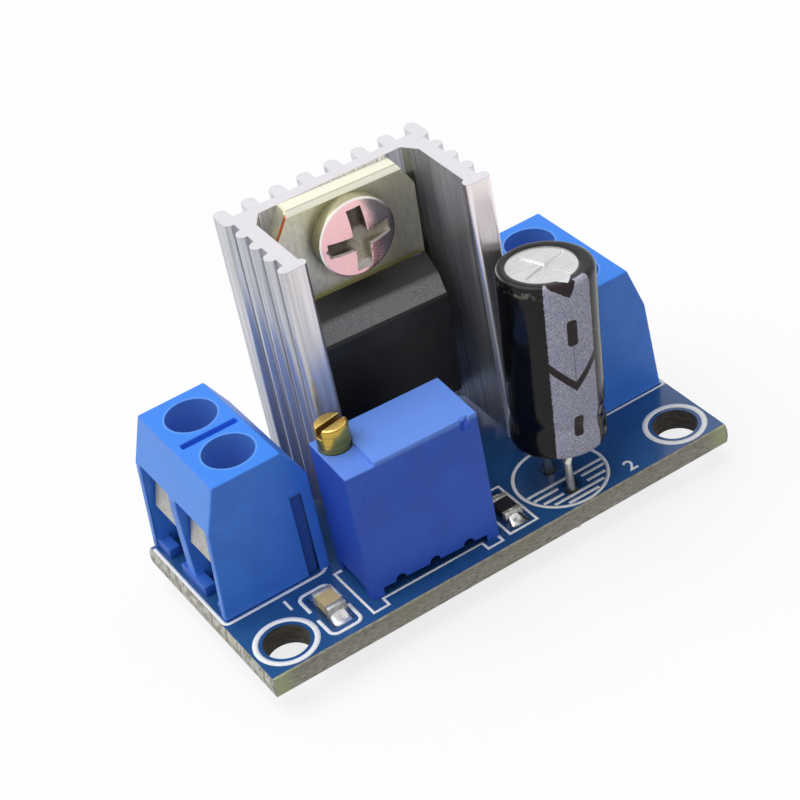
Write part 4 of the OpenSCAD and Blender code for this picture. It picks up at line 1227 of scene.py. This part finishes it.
@dataclass
class Regulator:
    """Regulator with its tab, moulded body, leads and fixing screw."""

    tab_rounding: float = 0.04
    body_rounding: float = 0.06
    lead_rounding: float = 0.05
    screw_rounding: float = 0.07

    def build(self) -> None:
        """Makes and dresses the regulator, the dome of its screw flattened."""
        Shapes.soften("regulator_tab", self.tab_rounding, PlatedTab("plated_tab"), "plated_tab", 20.0)
        Shapes.soften("regulator_body", self.body_rounding, Epoxy("black_epoxy"), "black_epoxy", 12.0)
        Shapes.soften("regulator_leads", self.lead_rounding, LEAD_TIN, "tinned_lead")
        look = BrightScrew("bright_screw")
        mesh = Shapes.soften("regulator_screw", self.screw_rounding, look, "bright_screw").data
        place = pose(look.origin, look.turn)
        mesh.transform(place.inverted())
        for vert in mesh.vertices:
            vert.co.y += max(0.0, look.rim * MM - vert.co.y) * (1.0 - look.flat)
        mesh.transform(place)


@dataclass
class Trimmer:
    """Multi-turn trimmer with its brass screw."""

    rounding: float = 0.2
    shortest: float = 2.0
    screw_rounding: float = 0.05
    slot_turn: float = -19.5

    def build(self) -> None:
        """Makes and dresses the trimmer, its screw turned a little as a driver left it."""
        Shapes.soften("trimmer_housing", self.rounding, TrimmerPlastic("trimmer_blue"), "trimmer_plastic",
                      shortest=self.shortest)
        screw = Shapes.soften("trimmer_screw", self.screw_rounding, BRASS, "turned_brass", body="trimmer_screw")
        low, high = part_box("trimmer_screw")
        middle = Vector(((low[0] + high[0]) / 2, (low[1] + high[1]) / 2, 0.0))
        turned = Matrix.Translation(middle) @ Matrix.Rotation(math.radians(self.slot_turn), 4, "Z")
        screw.data.transform(turned @ Matrix.Translation(-middle))
        for finish, node in ((RUBBER, "trimmer_seal"), (NYLON, "trimmer_rotor"), (BRONZE, "trimmer_wiper"),
                             (ALUMINA, "trimmer_element"), (RESIN, "trimmer_resin"), (LEAD_TIN, "trimmer_pins")):
            Shapes.dress(finish, node)


@dataclass
class Capacitor:
    """Upright electrolytic capacitor in its printed sleeve."""

    look: PrintedSleeve = PrintedSleeve("printed_sleeve")
    length: float = 12.75
    opening: float = 2.3
    wall: float = 0.12
    slip: Point = (-0.17, 0.1)
    slip_height: float = 0.6
    steps: int = 96
    can_rounding: float = 0.03
    lead_rounding: float = 0.02

    def profile(self) -> list[Point]:
        """The sleeve's closed section, with a rolled rim and a drawn-in foot.

        Returns:
            Radius and height of each corner.
        """
        r, top, t, opening = self.look.radius, self.length, self.wall, self.opening
        outside = [(opening, 0.02), (r - 0.35, 0.0), (r - 0.1, 0.07), (r - 0.01, 0.25), (r, 0.5),
                   (r - 0.02, 1.25), (r - 0.1, 1.65), (r - 0.15, 1.95), (r - 0.15, 2.25), (r - 0.09, 2.5),
                   (r - 0.02, 2.8), (r, 3.2), (r, 6.0), (r, 9.0), (r, top - 0.5), (r - 0.03, top - 0.28),
                   (r - 0.11, top - 0.11), (r - 0.24, top - 0.02), (r - 0.4, top), (opening + 0.2, top - 0.02),
                   (opening + 0.06, top - 0.05), (opening, top - t + 0.005)]
        inside = [(opening, top - t), (r - 0.4, top - t), (r - t - 0.08, top - 0.4), (r - t, top - 0.7),
                  (r - t, 3.2), (r - 0.29, 2.25), (r - 0.29, 1.95), (r - t, 1.2), (r - t, 0.3), (r - 0.35, t),
                  (opening, t)]
        return outside + inside

    def sleeve(self) -> None:
        """Shrinks the sleeve over the can, its upper opening a little off the middle."""
        bm = bmesh.new()
        place = pose(self.look.origin, self.look.turn) @ Matrix.Scale(MM, 4)
        span = self.look.radius - 0.2 - self.opening
        profile, rows = self.profile(), []
        for i in range(self.steps):
            angle, row = 2 * math.pi * i / self.steps, []
            for r, z in profile:
                share = max(0.0, 1.0 - (r - self.opening) / span) if z > self.length - self.slip_height else 0.0
                at = Vector((r * math.cos(angle) + self.slip[0] * share,
                             r * math.sin(angle) + self.slip[1] * share, z))
                row.append(bm.verts.new(place @ at))
            rows.append(row + row[:1])
        Shapes.grid(bm, rows + rows[:1])
        made = Shapes.form("capacitor_sleeve_print", bm, 50.0, self.look)
        Shapes.settle(made, "black_sleeve", ["capacitor_sleeve"])

    def build(self) -> None:
        """Makes and dresses the capacitor."""
        self.sleeve()
        Shapes.soften("capacitor_can", self.can_rounding, CAN, "can_aluminium")
        Shapes.soften("capacitor_leads", self.lead_rounding, LEAD_TIN, "tinned_lead")
        Shapes.dress(RUBBER, "capacitor_bung")


@dataclass
class ChipParts:
    """Chip capacitor, chip resistor and their solder."""

    row: float = -5.3
    half: float = 1.0
    places: tuple[Point, ...] = ((-11.661, 0.85), (1.939, 0.5))
    rise: float = 0.86
    run: float = 0.85
    tuck: float = 0.25
    pad: float = 1.36
    sink: float = 0.005
    skin: float = 0.012
    across: int = 18
    along: int = 14
    capacitor_rounding: float = 0.05
    rounding: float = 0.03

    def height(self, u: float, v: float, top: float) -> float:
        """Height of a fillet over the board.

        Args:
            u: Place across it, from -1 to 1.
            v: Place along it, from 0 at the chip to 1 at its foot.
            top: Height at the chip.

        Returns:
            The height.
        """
        sag = top * (1.0 - v) ** 2.4 + 0.16 * (1.0 - v ** 3) * (1.0 - 0.6 * v)
        side = max(0.0, 1.0 - abs(u) ** 2.6) ** 0.55
        lump = 0.04 * math.sin(5.0 * u + 2.0) * math.sin(7.0 * v + 1.0)
        return max(0.0, (sag + lump * (1.0 - v)) * side)

    def fillet(self, bm: bmesh.types.BMesh, x: float, side: int, top: float) -> None:
        """Adds one hollow fillet, closed underneath.

        Args:
            bm: The mesh that takes it.
            x: Middle of its chip.
            side: The chip's end, -1 or 1.
            top: Height at the chip.
        """
        floor = BOARD_TOP - self.sink
        upper, lower = [], []
        for j in range(self.along + 1):
            v = j / self.along
            y = self.row + side * (self.half - self.tuck + (self.run + self.tuck) * v)
            half_w = self.pad / 2 * (1.0 - 0.12 * v ** 4)
            high, low = [], []
            for i in range(self.across + 1):
                u = -1.0 + 2.0 * i / self.across
                over = floor + self.skin + self.height(u, v, top)
                high.append(bm.verts.new(Vector((x + u * half_w, y, over)) * MM))
                low.append(bm.verts.new(Vector((x + u * half_w, y, floor)) * MM))
            upper.append(high)
            lower.append(low)
        Shapes.grid(bm, upper)
        Shapes.grid(bm, lower)
        for k in (0, -1):
            Shapes.grid(bm, [upper[k], lower[k]])
            Shapes.grid(bm, [[row[k] for row in upper], [row[k] for row in lower]])

    def build(self) -> None:
        """Makes and dresses the chip parts, their solder run down to the pads."""
        Shapes.soften("chip_capacitor_body", self.capacitor_rounding, CHIP_TAN, "tan_ceramic")
        Shapes.soften("chip_resistor_body", self.rounding, CHIP_BLACK, "chip_black")
        for name in ("chip_capacitor_ends", "chip_resistor_ends"):
            Shapes.soften(name, self.rounding, CHIP_TIN, "tinned_end")
        bm = bmesh.new()
        for x, top in self.places:
            for side in (-1, 1):
                self.fillet(bm, x, side, top * self.rise)
        made = Shapes.form("chip_solder_fillets", bm, 60.0, SOLDER)
        Shapes.settle(made, "solder", ["chip_solder"])


@dataclass
class Studio:
    """Pale floor, soft overhead light, white surroundings and the camera."""

    camera_at: Triple = (-50.960, -104.583, 96.983)
    azimuth: float = 25.361
    drop: float = 36.554
    roll: float = -12.005
    focal_px: float = 2234.152
    frame_px: float = 800.0
    sensor: float = 36.0
    ambient: float = 0.42
    key: float = 1.9
    key_angle: float = 60.0
    key_turn: Triple = (-14.0, -20.0, 0.0)
    floor_glow: float = 0.8
    floor_reach: float = 1200.0
    floor_drop: float = 0.02

    @staticmethod
    def seen(g: Graph) -> Expr:
        """Tells rays that show the surroundings from rays that only carry light.

        Args:
            g: The tree.

        Returns:
            One for a ray that shows them, otherwise none.
        """
        path = g.node("ShaderNodeLightPath").outputs
        rays = [Expr(g, path[f"Is {kind} Ray"]) for kind in ("Camera", "Glossy", "Transmission")]
        return rays[0] | rays[1] | rays[2]

    @staticmethod
    def blend(g: Graph, share: Expr, first: bpy.types.Node, second: bpy.types.Node, end: str) -> None:
        """Ends a tree in a mix of two shaders.

        Args:
            g: The tree.
            share: Share of the second shader.
            first: Shader where the share is 0.
            second: Shader where the share is 1.
            end: Type of the tree's last node.
        """
        mixed = g.node("ShaderNodeMixShader", None, {0: share, 1: first.outputs[0], 2: second.outputs[0]})
        g.node(end, None, {"Surface": mixed.outputs[0]})

    def floor(self) -> None:
        """Lays the floor under the pin tips."""
        mesh = bpy.data.meshes.new("studio_floor")
        reach, level = self.floor_reach * MM, CAD_BOX[0][2] - self.floor_drop * MM
        corners = [(-reach, -reach, level), (reach, -reach, level), (reach, reach, level), (-reach, reach, level)]
        mesh.from_pydata(corners, [], [(0, 1, 2, 3)])
        material = bpy.data.materials.new("studio_floor")
        material.use_nodes = True
        g = Graph(material.node_tree)
        seen = self.seen(g)
        paint = g.node("ShaderNodeBsdfDiffuse", None,
                       {"Color": g.tint(seen, (176, 176, 176), (252, 252, 252))})
        glow = g.node("ShaderNodeEmission", None, {"Color": WHITE, "Strength": 1.0})
        self.blend(g, seen * self.floor_glow, paint, glow, "ShaderNodeOutputMaterial")
        mesh.materials.append(material)
        Shapes.add("studio_floor", mesh)

    def world(self) -> None:
        """Surrounds the object with white that lights it gently."""
        world = bpy.data.worlds.new("studio_world")
        world.use_nodes = True
        bpy.context.scene.world = world
        g = Graph(world.node_tree)
        soft = g.node("ShaderNodeBackground", None, {"Color": WHITE, "Strength": self.ambient})
        white = g.node("ShaderNodeBackground", None, {"Color": WHITE, "Strength": 1.0})
        self.blend(g, self.seen(g), soft, white, "ShaderNodeOutputWorld")

    def lamp(self) -> None:
        """Hangs the soft overhead light, a little to the left and back."""
        light = bpy.data.lights.new("overhead", "SUN")
        light.energy = self.key
        light.angle = math.radians(self.key_angle)
        Shapes.add("overhead", light).rotation_euler = [math.radians(v) for v in self.key_turn]

    def camera(self) -> None:
        """Sets the camera at the photograph's place."""
        el, az, roll = math.radians(self.drop), math.radians(self.azimuth), math.radians(self.roll)
        ahead = Vector((math.sin(az) * math.cos(el), math.cos(az) * math.cos(el), -math.sin(el)))
        level = ahead.cross(Vector((0.0, 0.0, 1.0))).normalized()
        right = level * math.cos(roll) + level.cross(ahead) * math.sin(roll)
        place = Matrix((right, right.cross(ahead), -ahead)).transposed().to_4x4()
        place.translation = Vector(self.camera_at) * MM
        data = bpy.data.cameras.new("photo_camera")
        data.sensor_width = self.sensor
        data.lens = self.focal_px / self.frame_px * self.sensor
        data.clip_start = MM
        made = Shapes.add("photo_camera", data)
        made.matrix_world = place
        bpy.context.scene.camera = made

    def build(self) -> None:
        """Sets up the studio."""
        self.floor()
        self.world()
        self.lamp()
        self.camera()
        bpy.context.scene.view_settings.view_transform = "Standard"


def main() -> None:
    """Builds the sub-assemblies in order."""
    logging.basicConfig(level=logging.INFO, format="%(name)s %(message)s")
    for part in (Board(), Terminal(End.INPUT), Terminal(End.OUTPUT), Heatsink(), Regulator(), Trimmer(),
                 Capacitor(), ChipParts(), Studio()):
        part.build()
        LOG.info("built %s", type(part).__name__)


if __name__ == "__main__":
    main()
